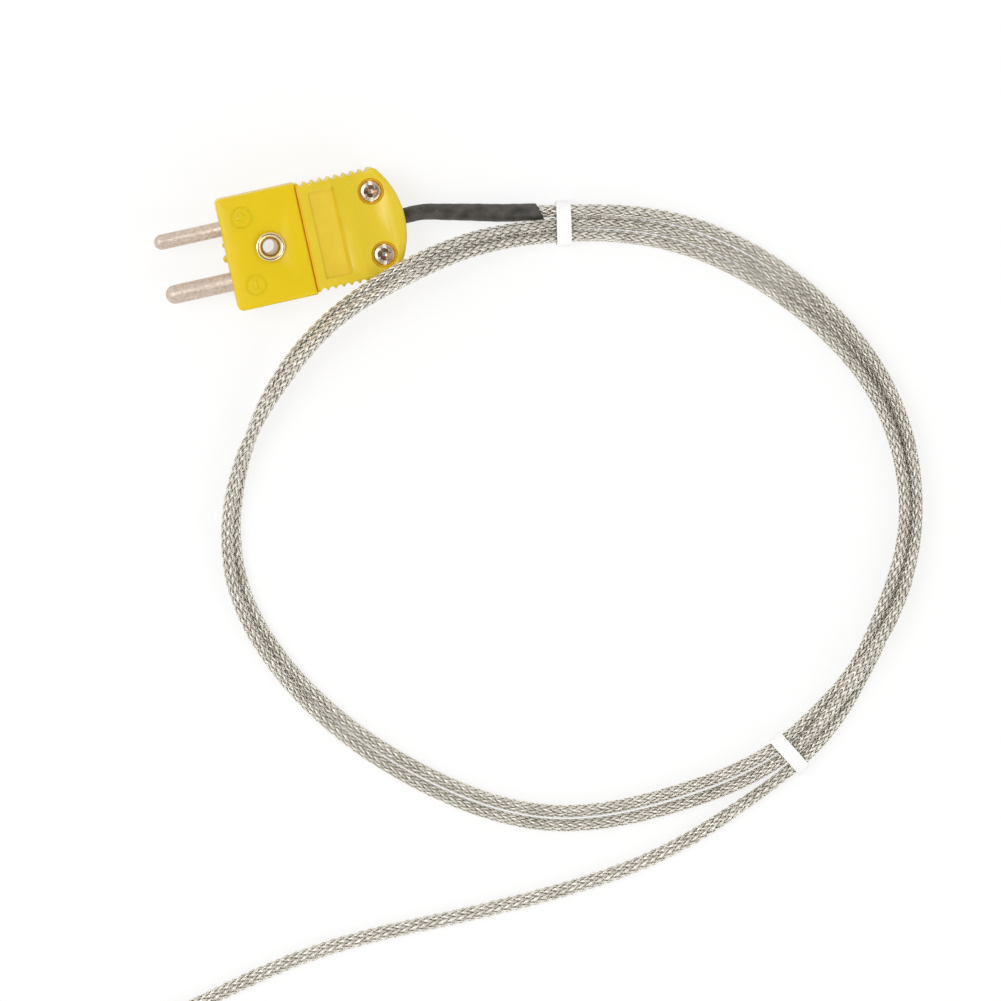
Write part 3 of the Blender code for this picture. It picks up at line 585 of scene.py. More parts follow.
SPECKS = {"marks": (0.62, 0.36, 0.01), "mark_scale": 420.0, "mark_share": 0.08}
YELLOW = moulded(
    "moulded yellow", (0.725, 0.527, 0.001), (0.765, 0.557, 0.002), (0.24, 0.34), drift=70.0,
    specular=0.36, **SPECKS,
)
# Painted sheen: the cap's paler, bluer base colour stands for the softbox's gloss on it, in the same
# plastic as the rest.
PAINTED_SHEEN_YELLOW = moulded(
    "moulded yellow, cap with painted sheen", (0.71, 0.533, 0.014), (0.75, 0.563, 0.026), (0.26, 0.36),
    drift=90.0, specular=0.45, **SPECKS,
)
LABEL_YELLOW = moulded(
    "moulded yellow, label floor", (0.72, 0.510, 0.016), (0.76, 0.540, 0.026), (0.42, 0.52),
    grain=2600.0, drift=300.0, bump=0.5, depth=0.00003, marks=(0.50, 0.24, 0.02),
    mark_scale=520.0, mark_share=0.35, specular=0.45,
)
# Painted recess shade: a deeper orange that stands for the shade and bounced glow in the seam and
# round the screw heads.
PAINTED_RECESS_YELLOW = moulded(
    "yellow in painted recess shade", (0.74, 0.39, 0.002), (0.78, 0.43, 0.004), (0.35, 0.48),
    drift=200.0, specular=0.3,
)
# Painted shadow: a darker yellow for the strip of label floor that the window's right wall shades.
WALL_SHADOW_YELLOW = moulded(
    "yellow in painted wall shadow", (0.69, 0.47, 0.001), (0.73, 0.50, 0.002), (0.38, 0.50), drift=200.0,
    specular=0.2,
)
NICKEL = finish(
    "blasted nickel", (0.58, 0.475, 0.395), (0.76, 0.64, 0.55), (0.40, 0.62), 1.0, grain=2600.0,
    drift=1500.0, bump=0.9, depth=0.00008, marks=(0.40, 0.31, 0.26), mark_scale=1900.0,
    mark_share=0.35,
)
BRASS = finish(
    "rolled brass", (0.90, 0.70, 0.38), (0.96, 0.80, 0.50), (0.14, 0.26), 1.0, grain=1800.0,
    drift=300.0, bump=0.25, depth=0.00003, marks=(0.55, 0.36, 0.15), mark_scale=800.0,
    mark_share=0.4,
)
# Painted shade: a darker, browner brass for the rivet's bore, where less light reaches.
PAINTED_BORE_BRASS = finish(
    "brass with painted shade down the bore", (0.78, 0.56, 0.26), (0.92, 0.74, 0.44), (0.30, 0.42), 1.0, grain=1800.0,
    drift=300.0, bump=0.25, depth=0.00003,
)
PLATED = finish(
    "plated screw", (0.66, 0.50, 0.37), (0.97, 0.88, 0.77), (0.24, 0.38), 1.0, grain=2200.0,
    drift=900.0, bump=0.4, depth=0.00004, marks=(0.50, 0.36, 0.26), mark_scale=1900.0,
    mark_share=0.5,
)
# Painted shade: dark brown for the shade inside the screws' cross recess.
PAINTED_SHADE_METAL = finish(
    "screw recess in painted shade", (0.16, 0.085, 0.045), (0.34, 0.20, 0.12), (0.30, 0.45), 1.0,
    grain=2200.0, drift=1400.0, bump=0.4, depth=0.00004, marks=(0.60, 0.45, 0.36),
    mark_scale=2200.0, mark_share=0.5,
)
# Painted highlight: a bright, non-metal white at the ends of the slot floor that stands for the
# glints there.
SLOT_HIGHLIGHT = finish(
    "slot floor with painted highlight", (0.93, 0.86, 0.74), (0.97, 0.93, 0.84), (0.35, 0.45), grain=2200.0,
    drift=1400.0, bump=0.3, depth=0.00003,
)
RUBBER = finish(
    "shrunk black sleeve", (0.026, 0.023, 0.019), (0.082, 0.074, 0.062), (0.40, 0.62),
    grain=2400.0, drift=420.0, bump=0.8, depth=0.00008, marks=(0.16, 0.15, 0.13),
    mark_scale=1100.0, mark_share=0.5,
)
STRAP = finish(
    "white tie", (0.88, 0.88, 0.88), (0.93, 0.93, 0.93), (0.42, 0.55), grain=3000.0,
    drift=200.0, bump=0.15,
)
SATIN = finish(
    "satin tube", (0.60, 0.59, 0.57), (0.70, 0.69, 0.67), (0.22, 0.34), 1.0, grain=1500.0,
    drift=150.0, marks=(0.45, 0.42, 0.38), mark_scale=600.0, mark_share=0.3,
)
CERAMIC = finish(
    "unglazed ceramic", (0.82, 0.80, 0.74), (0.90, 0.88, 0.83), (0.6, 0.75), grain=3500.0,
    drift=200.0, bump=0.3, depth=0.00003,
)
# Painted shade: the fibre core is made this dark to stand for the shade in the gaps between the
# bundles.
PAINTED_GAP_CORE = finish(
    "fibre core in painted gap shade", (0.042, 0.036, 0.027), (0.080, 0.070, 0.055), (0.7, 0.85), grain=2500.0,
    drift=500.0, bump=0.5, depth=0.00005,
)
POSITIVE_WIRE = finish(
    "positive alloy wire", (0.50, 0.48, 0.46), (0.60, 0.58, 0.56), (0.28, 0.40), 1.0,
    grain=2500.0, drift=300.0,
)
NEGATIVE_WIRE = finish(
    "negative alloy wire", (0.44, 0.40, 0.36), (0.54, 0.49, 0.45), (0.28, 0.40), 1.0,
    grain=2500.0, drift=300.0,
)
WIRE = braid_finish()


# ---- camera, table and light ----

def set_camera():
    """The view of the photograph, from almost straight above."""
    data = bpy.data.cameras.new("camera")
    data.sensor_width = SENSOR_WIDTH
    data.lens = LENS
    camera = add("camera", data)
    camera.location = CAMERA_PLACE
    camera.rotation_euler = CAMERA_TURN
    bpy.context.scene.camera = camera


def seen_straight(tree):
    """The light's path, and 1 for what the camera sees straight on or through, 0 for the rest."""
    path = put(tree, "ShaderNodeLightPath")
    straight = put(tree, "ShaderNodeMath", operation="MAXIMUM")
    join(
        tree,
        (path.outputs["Is Camera Ray"], straight.inputs[0]),
        (path.outputs["Is Transmission Ray"], straight.inputs[1]),
    )
    return path, straight


def set_table():
    """A plain white table whose own white stands for the background and which keeps the shadow."""
    rest()
    bpy.ops.mesh.primitive_plane_add(size=TABLE_SIZE, location=TABLE_MIDDLE)
    table = named("table")
    settle(table, TABLE_MIDDLE)
    material, tree, _ = new_material("white table")
    tree.nodes.clear()
    diffuse = put(tree, "ShaderNodeBsdfDiffuse", sockets={"Color": (0.93, 0.93, 0.93, 1)})
    glow = put(tree, "ShaderNodeEmission", sockets={"Color": WHITE, "Strength": 1.0})
    path, straight = seen_straight(tree)
    seen = put(tree, "ShaderNodeMath", operation="MAXIMUM")
    part = put(tree, "ShaderNodeMath", operation="MULTIPLY", sockets={1: TABLE_GLOW})
    mix = put(tree, "ShaderNodeMixShader")
    out = put(tree, "ShaderNodeOutputMaterial")
    join(
        tree,
        (straight.outputs[0], seen.inputs[0]),
        (path.outputs["Is Glossy Ray"], seen.inputs[1]),
        (seen.outputs[0], part.inputs[0]),
        (part.outputs[0], mix.inputs["Fac"]),
        (diffuse.outputs[0], mix.inputs[1]),
        (glow.outputs[0], mix.inputs[2]),
        (mix.outputs[0], out.inputs["Surface"]),
    )
    table.data.materials.append(material)


def set_light():
    """A pale tent of light, darker overhead where the camera looks in, and two soft lamps."""
    world = bpy.data.worlds.new("studio")
    bpy.context.scene.world = world
    world.use_nodes = True
    tree = world.node_tree
    tree.nodes.clear()
    place = put(tree, "ShaderNodeTexCoord")
    split = put(tree, "ShaderNodeSeparateXYZ")
    tent = put(
        tree, "ShaderNodeMapRange",
        sockets={"From Min": 0.50, "From Max": 0.97, "To Min": 1.0, "To Max": OVERHEAD},
    )
    path, straight = seen_straight(tree)
    fill = put(
        tree, "ShaderNodeBackground", sockets={"Color": (1.0, 0.99, 0.98, 1), "Strength": FILL}
    )
    mirror = put(tree, "ShaderNodeBackground", sockets={"Color": WHITE})
    plain = put(tree, "ShaderNodeBackground", sockets={"Color": WHITE, "Strength": 1.0})
    first = put(tree, "ShaderNodeMixShader")
    second = put(tree, "ShaderNodeMixShader")
    out = put(tree, "ShaderNodeOutputWorld")
    join(
        tree,
        (place.outputs["Generated"], split.inputs[0]),
        (split.outputs["Z"], tent.inputs["Value"]),
        (tent.outputs["Result"], mirror.inputs["Strength"]),
        (path.outputs["Is Glossy Ray"], first.inputs["Fac"]),
        (fill.outputs[0], first.inputs[1]),
        (mirror.outputs[0], first.inputs[2]),
        (straight.outputs[0], second.inputs["Fac"]),
        (first.outputs[0], second.inputs[1]),
        (plain.outputs[0], second.inputs[2]),
        (second.outputs[0], out.inputs["Surface"]),
    )
    for name, spot, size, power in LAMPS:
        data = bpy.data.lights.new(name, "AREA")
        data.shape = "SQUARE"
        data.size = size
        data.energy = power
        lamp = add(name, data)
        lamp.location = spot
        aim = Vector(LAMP_AIM) - Vector(spot)
        lamp.rotation_euler = aim.to_track_quat("-Z", "Y").to_euler()


# ---- cable line ----

def smooth_curve(points, steps=SPLINE_STEPS):
    """A natural cubic spline through the given points, as many short steps."""
    knots = np.array(points, float)
    spans = np.linalg.norm(np.diff(knots, axis=0), axis=1)
    size = len(knots)
    system = np.eye(size)
    bend = np.zeros((size, 3))
    for i in range(1, size - 1):
        before, after = spans[i - 1], spans[i]
        system[i, i - 1 : i + 2] = before, 2 * (before + after), after
        bend[i] = 6 * ((knots[i + 1] - knots[i]) / after - (knots[i] - knots[i - 1]) / before)
    curve = np.linalg.solve(system, bend)
    pieces = [knots[:1]]
    for i, span in enumerate(spans):
        right = np.linspace(0, 1, steps + 1)[1:, None]
        left = 1 - right
        pieces.append(
            left * knots[i]
            + right * knots[i + 1]
            + span**2 / 6 * ((left**3 - left) * curve[i] + (right**3 - right) * curve[i + 1])
        )
    return np.concatenate(pieces)


def lengths_of(line):
    """How far along a line each of its points lies."""
    return np.concatenate([[0], np.cumsum(np.linalg.norm(np.diff(line, axis=0), axis=1))])


def ease(value, low, high):
    """0 below low, 1 above high, with a smooth change between them."""
    share = np.clip((np.asarray(value, float) - low) / (high - low), 0, 1)
    return share * share * (3 - 2 * share)


def route_point(point):
    """A point of the route in the frame of the model."""
    return np.array([REAR_X + point[0], point[1], point[2]])


def coil_centre():
    """The coil's middle, and the angle at which the tail's end stands from it."""
    end = route_point(TAIL[-1])
    along = end - route_point(TAIL[-3])
    inward = np.array([-along[1], along[0], 0.0])
    inward /= np.linalg.norm(inward)
    return end + inward * COIL_EDGE, math.atan2(-inward[1], -inward[0])


def coil_points():
    """The stowed turns: an outer lane, an inner lane, then flat over both and out to the tip."""
    centre, start = coil_centre()
    last = (math.radians(270) - start) / (2 * math.pi) + 2
    points, flats = [], []
    for laps in np.linspace(0, last, COIL_KNOTS + 1)[1:]:
        radius = COIL_EDGE
        radius -= (COIL_EDGE - OUTER_LANE) * ease(laps, *DRAW_IN)
        radius -= (OUTER_LANE - INNER_LANE) * ease(laps, *CHANGE_LANE)
        radius += (COIL_EDGE - INNER_LANE) * ease(laps, *COME_OUT)
        height = TAIL[-1][2] + (LANE_Z - TAIL[-1][2]) * ease(laps, *RISE_TO_LANE)
        height += HUMP * (ease(laps, *CLIMB) - ease(laps, COME_OUT[1], last))
        angle = start + laps * 2 * math.pi
        x = centre[0] + radius * math.cos(angle)
        y = centre[1] + radius * math.sin(angle)
        points.append((x, y, height))
        flats.append(float(ease(laps, *TURN_FLAT) - ease(laps, *TURN_BACK)))
    return points, flats


def tip_place():
    """Where the tip's mouth is, and the line along which it lies."""
    centre, _ = coil_centre()
    return centre[0] + TIP_REACH, centre[1] - COIL_EDGE


def cable_line():
    """The whole centreline in even steps, and how far the cable is turned flat at each."""
    inside = [(CABLE_START_X, 0, MID_Z), (REAR_X - PASSAGE, 0, MID_Z)]
    legs = FIRST_LEG + FIRST_PASS + FIRST_RETURN + SECOND_PASS + SECOND_RETURN + THIRD_PASS + TAIL
    mouth, side = tip_place()
    ahead = (mouth - 0.004, mouth + 0.002, mouth + CABLE_IN_TIP - 0.0003)
    out = [(x, side, TIP_Z) for x in ahead]
    turns, flats = coil_points()
    knots = inside + [route_point(p) for p in legs] + turns + out
    before = len(inside) + len(legs) - len(TAIL)
    turned = [0.0] * before + [0.45] + [1.0] * (len(TAIL) - 3) + [0.75, 0.2]
    turned += flats + [0.0] * len(out)
    line = smooth_curve(knots)
    lengths = lengths_of(line)
    wanted = np.linspace(0, lengths[-1], int(lengths[-1] / LINE_STEP))
    even = np.stack([np.interp(wanted, lengths, line[:, axis]) for axis in range(3)], axis=1)
    return even, wanted, np.interp(wanted, lengths[::SPLINE_STEPS], turned)


class FlatCable:
    """Places on and round the flat cable, by length along it, share of the way round, and lift."""

    def __init__(self, line, lengths, flat):
        self.line = line
        self.lengths = lengths
        along = np.gradient(line, axis=0)
        self.along = along / np.linalg.norm(along, axis=1)[:, None]
        level = np.cross(self.along, (0, 0, 1))
        self.level = level / np.linalg.norm(level, axis=1)[:, None]
        self.rise = np.cross(self.level, self.along)
        turn = np.radians(90) * flat
        self.wide = self.rise * np.cos(turn)[:, None] + self.level * np.sin(turn)[:, None]
        self.thin = self.level * np.cos(turn)[:, None] - self.rise * np.sin(turn)[:, None]
        self.half_wide = CABLE_WIDE / 2 - CARRIER_LIFT
        self.half_thin = CABLE_THIN / 2 - CARRIER_LIFT
        self.angles = np.linspace(0, 2 * math.pi, OVAL_STEPS + 1)
        oval_wide = self.half_wide * np.cos(self.angles)
        oval_thin = self.half_thin * np.sin(self.angles)
        around = lengths_of(np.stack([oval_wide, oval_thin], axis=1))
        self.girth = around[-1]
        self.shares = around / self.girth

    def at(self, length, table):
        """The row of a table, such as the line, at a length along the cable."""
        return np.stack([np.interp(length, self.lengths, table[:, k]) for k in range(3)], axis=-1)

    def place(self, length, share, lift):
        """Points in the air round the cable, for arrays of length, share and lift off its oval."""
        angle = np.interp(np.mod(share, 1.0), self.shares, self.angles)
        cos, sin = np.cos(angle), np.sin(angle)
        size = np.hypot(cos * self.half_thin, sin * self.half_wide)
        wide = self.half_wide * cos + lift * cos * self.half_thin / size
        thin = self.half_thin * sin + lift * sin * self.half_wide / size
        spot = self.at(length, self.line)
        spot = spot + wide[..., None] * self.at(length, self.wide)
        return spot + thin[..., None] * self.at(length, self.thin)


def carrier_rows(way, stop):
    """Shares of the way round at which a bundle of one way rises, runs and dips, and its height."""
    shift = 0.0 if way > 0 else 0.5
    phases = np.array([0.0, 0.15, 0.35, 0.5]) + shift
    rises = np.array([-0.5, 0.9, 0.9, -0.5])
    reach = math.ceil((stop / BRAID_LAY + 2) * CARRIERS / 2)
    cells = np.arange(-reach, reach)
    shares = ((cells[:, None] + phases[None, :]) * 4 - 0.5) / (2 * CARRIERS)
    return shares.ravel(), np.tile(rises, len(cells))


def braid_parts(cable, start, stop):
    """Closed bundles of wire woven two over and two under: a crowned top and a flat underside."""
    across = np.array([-0.5, 0.0, 0.5]) * CARRIER_WIDTH
    crown = np.array([-1.0, 0.0, -1.0]) * CARRIER_CROWN
    slope = math.atan(cable.girth / BRAID_LAY)
    spots, tops, unders, ends, marks = [], [], [], [], []
    base = 0
    for way in (1, -1):
        shares, rises = carrier_rows(way, stop)
        for k in range(CARRIERS):
            length = way * (shares - k / CARRIERS) * BRAID_LAY
            keep = (length > start) & (length < stop)
            order = np.argsort(length[keep])
            run, share, rise = length[keep][order], shares[keep][order], rises[keep][order]
            row_length = run[:, None] - way * math.sin(slope) * across
            row_share = share[:, None] + math.cos(slope) * across / cable.girth
            row_lift = rise[:, None] * CARRIER_LIFT + crown
            spots.append(cable.place(row_length, row_share, row_lift).reshape(-1, 3))
            rows = len(run)
            grid = base + np.arange(rows * 3).reshape(rows, 3)
            beside = np.roll(grid, -1, axis=1)
            quads = np.stack([grid[:-1], grid[1:], beside[1:], beside[:-1]], axis=-1)
            # Each face splits along the diagonal that keeps to the round of the cable.
            tops.append(np.roll(quads[:, :2], way > 0, axis=-1).reshape(-1, 4))
            unders.append(np.roll(quads[:, 2], way < 0, axis=-1))
            ends += [grid[0].tolist(), grid[-1, ::-1].tolist()]
            run_mark = (run * 1000 + (k + 8 * (way > 0)) * TONE_SHIFT)[:, None] + 0 * across
            side_mark = (across / CARRIER_WIDTH + 0.5)[None, :] + 0 * run[:, None]
            marks.append(np.stack([side_mark, run_mark], axis=-1).reshape(-1, 2))
            base += rows * 3
    under = np.concatenate(unders).tolist() + ends
    return np.concatenate(spots), np.concatenate(tops).tolist(), under, np.concatenate(marks)


def core_parts(cable, stop, sides=10):
    """The fibre tube inside the braid, closed at both ends."""
    stations = np.append(np.arange(0, stop, CORE_STEP), stop)
    shares = np.arange(sides) / sides
    length = np.repeat(stations[:, None], sides, axis=1)
    share = np.repeat(shares[None, :], len(stations), axis=0)
    spots = cable.place(length, share, np.full(length.shape, -CORE_INSET)).reshape(-1, 3)
    faces = []
    for i in range(len(stations) - 1):
        for j in range(sides):
            a, b = i * sides + j, i * sides + (j + 1) % sides
            faces.append((a, a + sides, b + sides, b))
    last = (len(stations) - 1) * sides
    ends = [tuple(range(sides)), tuple(last + j for j in reversed(range(sides)))]
    return spots, faces, ends


def outward(cable, spots, face, length):
    """Whether a face looks away from the cable's centre."""
    corners = spots[list(face)]
    normal = np.cross(corners[1] - corners[0], corners[2] - corners[0])
    return normal.dot(corners.mean(axis=0) - cable.at(length, cable.line)) > 0


def braided_cable(cable):
    """The whole cable as one piece: the woven bundles over their fibre core."""
    end = cable.lengths[-1]
    spots, tops, under, marks = braid_parts(cable, BRAID_START, end - BRAID_END_GAP)
    if not outward(cable, spots, tops[0], BRAID_START):
        tops, under = [f[::-1] for f in tops], [f[::-1] for f in under]
    core, core_faces, core_ends = core_parts(cable, end)
    core_faces += core_ends
    if not outward(cable, core, core_faces[0], CORE_STEP / 2):
        core_faces = [f[::-1] for f in core_faces]
    tube = [[len(spots) + v for v in f] for f in core_faces]
    mesh = bpy.data.meshes.new("braided_cable")
    mesh.from_pydata(np.concatenate([spots, core]).tolist(), [], tops + under + tube)
    layer = mesh.uv_layers.new(name="bundle")
    corner = np.zeros(len(mesh.loops), np.int32)
    mesh.loops.foreach_get("vertex_index", corner)
    flat_marks = np.concatenate([marks, np.zeros((len(core), 2))])[corner]
    layer.data.foreach_set("uv", flat_marks.astype(np.float32).ravel())
    piece = add("braided_cable", mesh)
    mesh.materials.append(WIRE)
    # The core's finish is painted shade in the gaps between bundles.
    mesh.materials.append(PAINTED_GAP_CORE)
    kinds = np.zeros(len(mesh.polygons), np.int32)
    kinds[len(tops) + len(under):] = 1
    mesh.polygons.foreach_set("material_index", kinds)
    smooth_faces = np.ones(len(mesh.polygons), bool)
    smooth_faces[len(tops):len(tops) + len(under)] = False
    mesh.polygons.foreach_set("use_smooth", smooth_faces)
    mesh.update()
    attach(piece, ROOT)
    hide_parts("cable", "cable_end", "stowed_coil")
    return piece


def shrunk_sleeve(cable):
    """A rubbery sleeve over the cable's first stretch, cut slanting, with an open end."""
    start = REAR_X - SLEEVE_HIDDEN - CABLE_START_X
    stop = REAR_X - CABLE_START_X + SLEEVE_LENGTH
    inner = SLEEVE_RADIUS - SLEEVE_WALL
    sides = 28
    angles = np.linspace(0, 2 * math.pi, sides, endpoint=False)
    walls = [(s, SLEEVE_RADIUS) for s in np.linspace(start, stop, 44)]
    walls += [(stop + 0.00008, SLEEVE_RADIUS - SLEEVE_WALL * 0.5), (stop, inner)]
    walls += [(s, inner) for s in np.linspace(stop - 0.002, start, 8)]
    spots, faces = [], []
    for s, radius in walls:
        near_end = ease(s, stop - 0.006, stop)
        slack = 0.95 + 0.13 * ease(s, start + 0.006, stop - 0.007) - 0.04 * near_end
        slack += 0.012 * math.sin(s * 1700) + 0.008 * math.sin(s * 3100 + 1)
        level, rise, along = (cable.at(s, t) for t in (cable.level, cable.rise, cable.along))
        for a in angles:
            offset = radius * slack * (level * math.cos(a) + rise * math.sin(a))
            shear = -SLEEVE_SLANT * offset[1] * near_end
            spots.append(cable.at(s, cable.line) + offset + along * shear)
    for i in range(len(walls)):
        k = (i + 1) % len(walls)
        for j in range(sides):
            m = (j + 1) % sides
            faces.append((i * sides + j, i * sides + m, k * sides + m, k * sides + j))
    mesh = bpy.data.meshes.new("shrunk_sleeve")
    mesh.from_pydata([tuple(s) for s in spots], [], faces)
    piece = add("shrunk_sleeve", mesh)
    edit(piece)
    bpy.ops.mesh.select_all(action="SELECT")
    bpy.ops.mesh.normals_make_consistent(inside=False)
    rest()
    smooth(piece, 50)
    return dress(piece, RUBBER, "black_sleeve", "heat_shrink_sleeve")


# ---- plug ----

def draw_to_seam(moulding):
    """Bring the front moulding's rear edge up to the cap, to leave only a fine groove."""
    edit(moulding)
    choose(moulding, "verts", lambda v: v.co.x > SEAM_X - 0.0004 and v.co.z > MID_Z)
    bpy.ops.transform.translate(value=(SEAM_DRAW, 0, 0))
    rest()


def crown_ridge(moulding):
    """Slope the band behind the label window up to a soft crest at the dish."""
    # The first two cuts bound the strips of painted shade at the seam and by the window wall.
    split_across(moulding, SEAM_SHADE_LIMIT, WINDOW_SHADE, RIDGE_LOW, RIDGE_CREST)
    edit(moulding)
    for x, rise in ((RIDGE_LOW, -RIDGE_RISE / 2), (RIDGE_CREST, RIDGE_RISE / 2)):
        choose(
            moulding, "verts",
            lambda v: abs(v.co.x - x) < 0.00002 and v.co.z > TOP_Z - 0.0002,
        )
        bpy.ops.transform.translate(value=(0, 0, rise))
    rest()


def tint(moulding, material, test):
    """Give the faces whose middle and direction pass a test another finish."""
    edit(moulding)
    choose(moulding, "faces", lambda f: test(f.calc_center_median(), f.normal))
    moulding.data.materials.append(material)
    moulding.active_material_index = len(moulding.data.materials) - 1
    bpy.ops.object.material_slot_assign()
    rest()


def split_across(moulding, *places):
    """Straight cuts across the moulding, which leave its form as it is."""
    edit(moulding)
    for x in places:
        bpy.ops.mesh.select_all(action="SELECT")
        bpy.ops.mesh.bisect(plane_co=(x, 0, 0), plane_no=(1, 0, 0))
    rest()


def on_window_floor(spot, normal):
    """Whether a face at this place lies on the floor of the label window."""
    return (
        normal.z > 0.9 and WINDOW_X[0] < spot.x < WINDOW_X[1]
        and TOP_Z - 0.0005 < spot.z < TOP_Z - 0.0003
    )


def tint_cap(moulding):
    """A paler label floor, painted shadow on the strip of it by the window's right wall, and painted
    recess shade along the seam.
    """
    tint(moulding, LABEL_YELLOW, lambda p, n: on_window_floor(p, n) and p.x < WINDOW_SHADE)
    # Painted shadow on the window floor by its right wall.
    tint(moulding, WALL_SHADOW_YELLOW, lambda p, n: on_window_floor(p, n) and p.x > WINDOW_SHADE)
    # Painted recess shade on the cap's front strip along the seam.
    tint(moulding, PAINTED_RECESS_YELLOW, lambda p, n: p.x < SEAM_SHADE_LIMIT and p.z > MID_Z)


def housing():
    """The two mouldings, and the removable cap with its ridge and label window."""
    lower = moulded_copy("lower_moulding", "base_shell", 0.00012)
    dress(lower, YELLOW, "yellow_plastic", "base_shell")
    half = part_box("front_cover")[1][1]
    front = moulded_copy(
        "front_moulding", "front_cover", 0.00014, rim=0.00045,
        test=lambda p: p.x < FRONT_X + 0.0015 or abs(p.y) > half - 0.0015,
    )
    draw_to_seam(front)
    dress(front, YELLOW, "yellow_plastic", "front_cover")
    # Painted recess shade on the front moulding's rear wall in the seam.
    tint(front, PAINTED_RECESS_YELLOW, lambda p, n: n.x > 0.5 and p.x > SEAM_X - 0.0004)
    rear = moulded_copy("rear_moulding", "rear_cap", 0.00014)
    crown_ridge(rear)
    smooth(rear, 38)
    # The cap's paler finish is painted sheen.
    dress(rear, PAINTED_SHEEN_YELLOW, "yellow_plastic", "rear_cap")
    tint_cap(rear)


def polarity_marks():
    """Low raised rings with a plus and a minus, moulded with the cover."""
    low, top = TOP_Z - 0.00008, TOP_Z + 0.00013
    half = 0.00018
    for name, y, radius, crossed in (
        ("plus_mark", MARK_Y, 0.00215, True),
        ("minus_mark", -MARK_Y, 0.00205, False),
    ):
        middle = (MARK_X, y, TOP_Z + 0.000015)
        profile = [
            (radius - half, low), (radius - half * 0.5, top), (radius + half * 0.5, top),
            (radius + half, low),
        ]
        ring = lathe(name, profile, 48, (MARK_X, y, 0), closed=True)
        bar = block(f"{name}_bar", (MARK_STROKE, MARK_BAR, 0.00023), middle)
        apply_modifier(bar, "BEVEL", width=0.00006, segments=2)
        if crossed:
            other = block(f"{name}_cross", (MARK_BAR, MARK_STROKE, 0.00023), middle)
            apply_modifier(other, "BEVEL", width=0.00006, segments=2)
            cut(bar, other, "UNION")
        take(ring)
        bar.select_set(True)
        bpy.ops.object.join()
        smooth(ring, 40)
        dress(ring, YELLOW, "yellow_plastic")


def rivet():
    """The hollow brass rivet, flared at its mouth and rolled over at both ends."""
    top = TOP_Z + 0.0003
    low = 0.0007
    upper = [
        (0.00195, top), (0.00280, top), (0.00300, top + 0.00012), (0.00305, top + 0.00028),
        (0.00298, top + 0.00044), (0.00278, top + 0.00054), (0.00252, top + 0.00052),
        (0.00228, top + 0.00036), (0.00205, top + 0.00008), (0.00183, top - 0.00040),
        (0.00166, top - 0.0010), (0.00155, top - 0.0018), (0.00150, top - 0.0030),
    ]
    lower = [
        (0.00150, low + 0.0010), (0.00158, low - 0.0001), (0.00200, low - 0.00045),
        (0.00260, low - 0.00055), (0.00300, low - 0.00030), (0.00302, low - 0.0001),
        (0.00280, low), (0.00195, low),
    ]
    piece = lathe("hollow_rivet", upper + lower, 64, closed=True)
    edit(piece)
    choose(piece, "verts", lambda v: v.co.xy.length < 0.0017 and v.co.z < MID_Z)
    bpy.ops.transform.translate(value=(-0.00045, 0.00012, 0))
    rest()
    settle(piece, (EYELET_X, 0, 0))
    smooth(piece, 40)
    dress(piece, BRASS, "bright_brass", "rivet_eyelet")
    # Painted shade down the bore.
    tint(
        piece, PAINTED_BORE_BRASS,
        lambda p, n: math.hypot(p.x - EYELET_X, p.y) < 0.0018 and p.z < TOP_Z - 0.0008,
    )


def contact_pins():
    """The two round pins, with slightly softened edges."""
    for label, node in (("plus", "positive_pin"), ("minus", "negative_pin")):
        piece = moulded_copy(f"{label}_contact", node, 0.00008)
        dress(piece, NICKEL, "blasted_nickel_alloy", node)


def cap_screws():
    """Cheese-head screws with a slot right across, painted shade in the cross and painted highlights
    at the slot's ends, modelled once and copied.
    """
    profile = [
        (0, -0.0097), (0.0009, -0.0097), (0.0012, -0.0093), (0.0012, -0.0010), (0.0020, -0.0010),
        (0.0022, -0.0008), (0.0022, -0.00042), (0.00214, -0.00024), (0.0020, -0.00014),
        (0.0016, -0.00004), (0.0011, 0.00002), (0, 0.00004),
    ]
    screw = lathe("cap_screw_upper", profile, 48)
    cut(screw, block("slot", (0.0060, 0.00080, 0.0009)))
    cut(screw, block("cross_along", (0.0026, 0.0009, 0.0013)))
    cut(screw, block("cross_over", (0.0009, 0.0028, 0.0013)))
    well = block("well", (0.0019, 0.0019, 0.0012))
    cut(screw, settle(well, turn=(0, 0, math.radians(14))))
    cut(screw, block("centre", (0.0009, 0.0009, 0.0015)))
    apply_modifier(
        screw, "BEVEL", width=0.00005, segments=2, limit_method="ANGLE",
        angle_limit=math.radians(40), use_clamp_overlap=True,
    )
    dress(screw, PLATED, "plated_steel")
    # Painted shade in the cross recess.
    tint(
        screw, PAINTED_SHADE_METAL,
        lambda p, n: p.xy.length < CROSS_REACH and CROSS_DEPTH[0] < p.z < CROSS_DEPTH[1],
    )
    # Painted highlight on the slot floor beyond the cross.
    tint(
        screw, SLOT_HIGHLIGHT,
        lambda p, n: p.xy.length > CROSS_REACH and n.z > 0.9
        and SLOT_FLOOR[0] < p.z < SLOT_FLOOR[1] and abs(p.y) < 0.00045,
    )
    other = screw.copy()
    other.data = screw.data.copy()
    other.name = "cap_screw_lower"
    other.data.name = "cap_screw_lower"
    bpy.context.scene.collection.objects.link(other)
    for piece, y, turn, node in (
        (screw, CAP_SCREW_SPACING / 2, 84, "cap_screw_1"),
        (other, -CAP_SCREW_SPACING / 2, 81, "cap_screw_2"),
    ):
        settle(piece, (CAP_SCREW_X, y, CAP_SCREW_TOP), (0, 0, math.radians(turn)))
        smooth(piece, 35)
        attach(piece, ROOT)
        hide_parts(node)


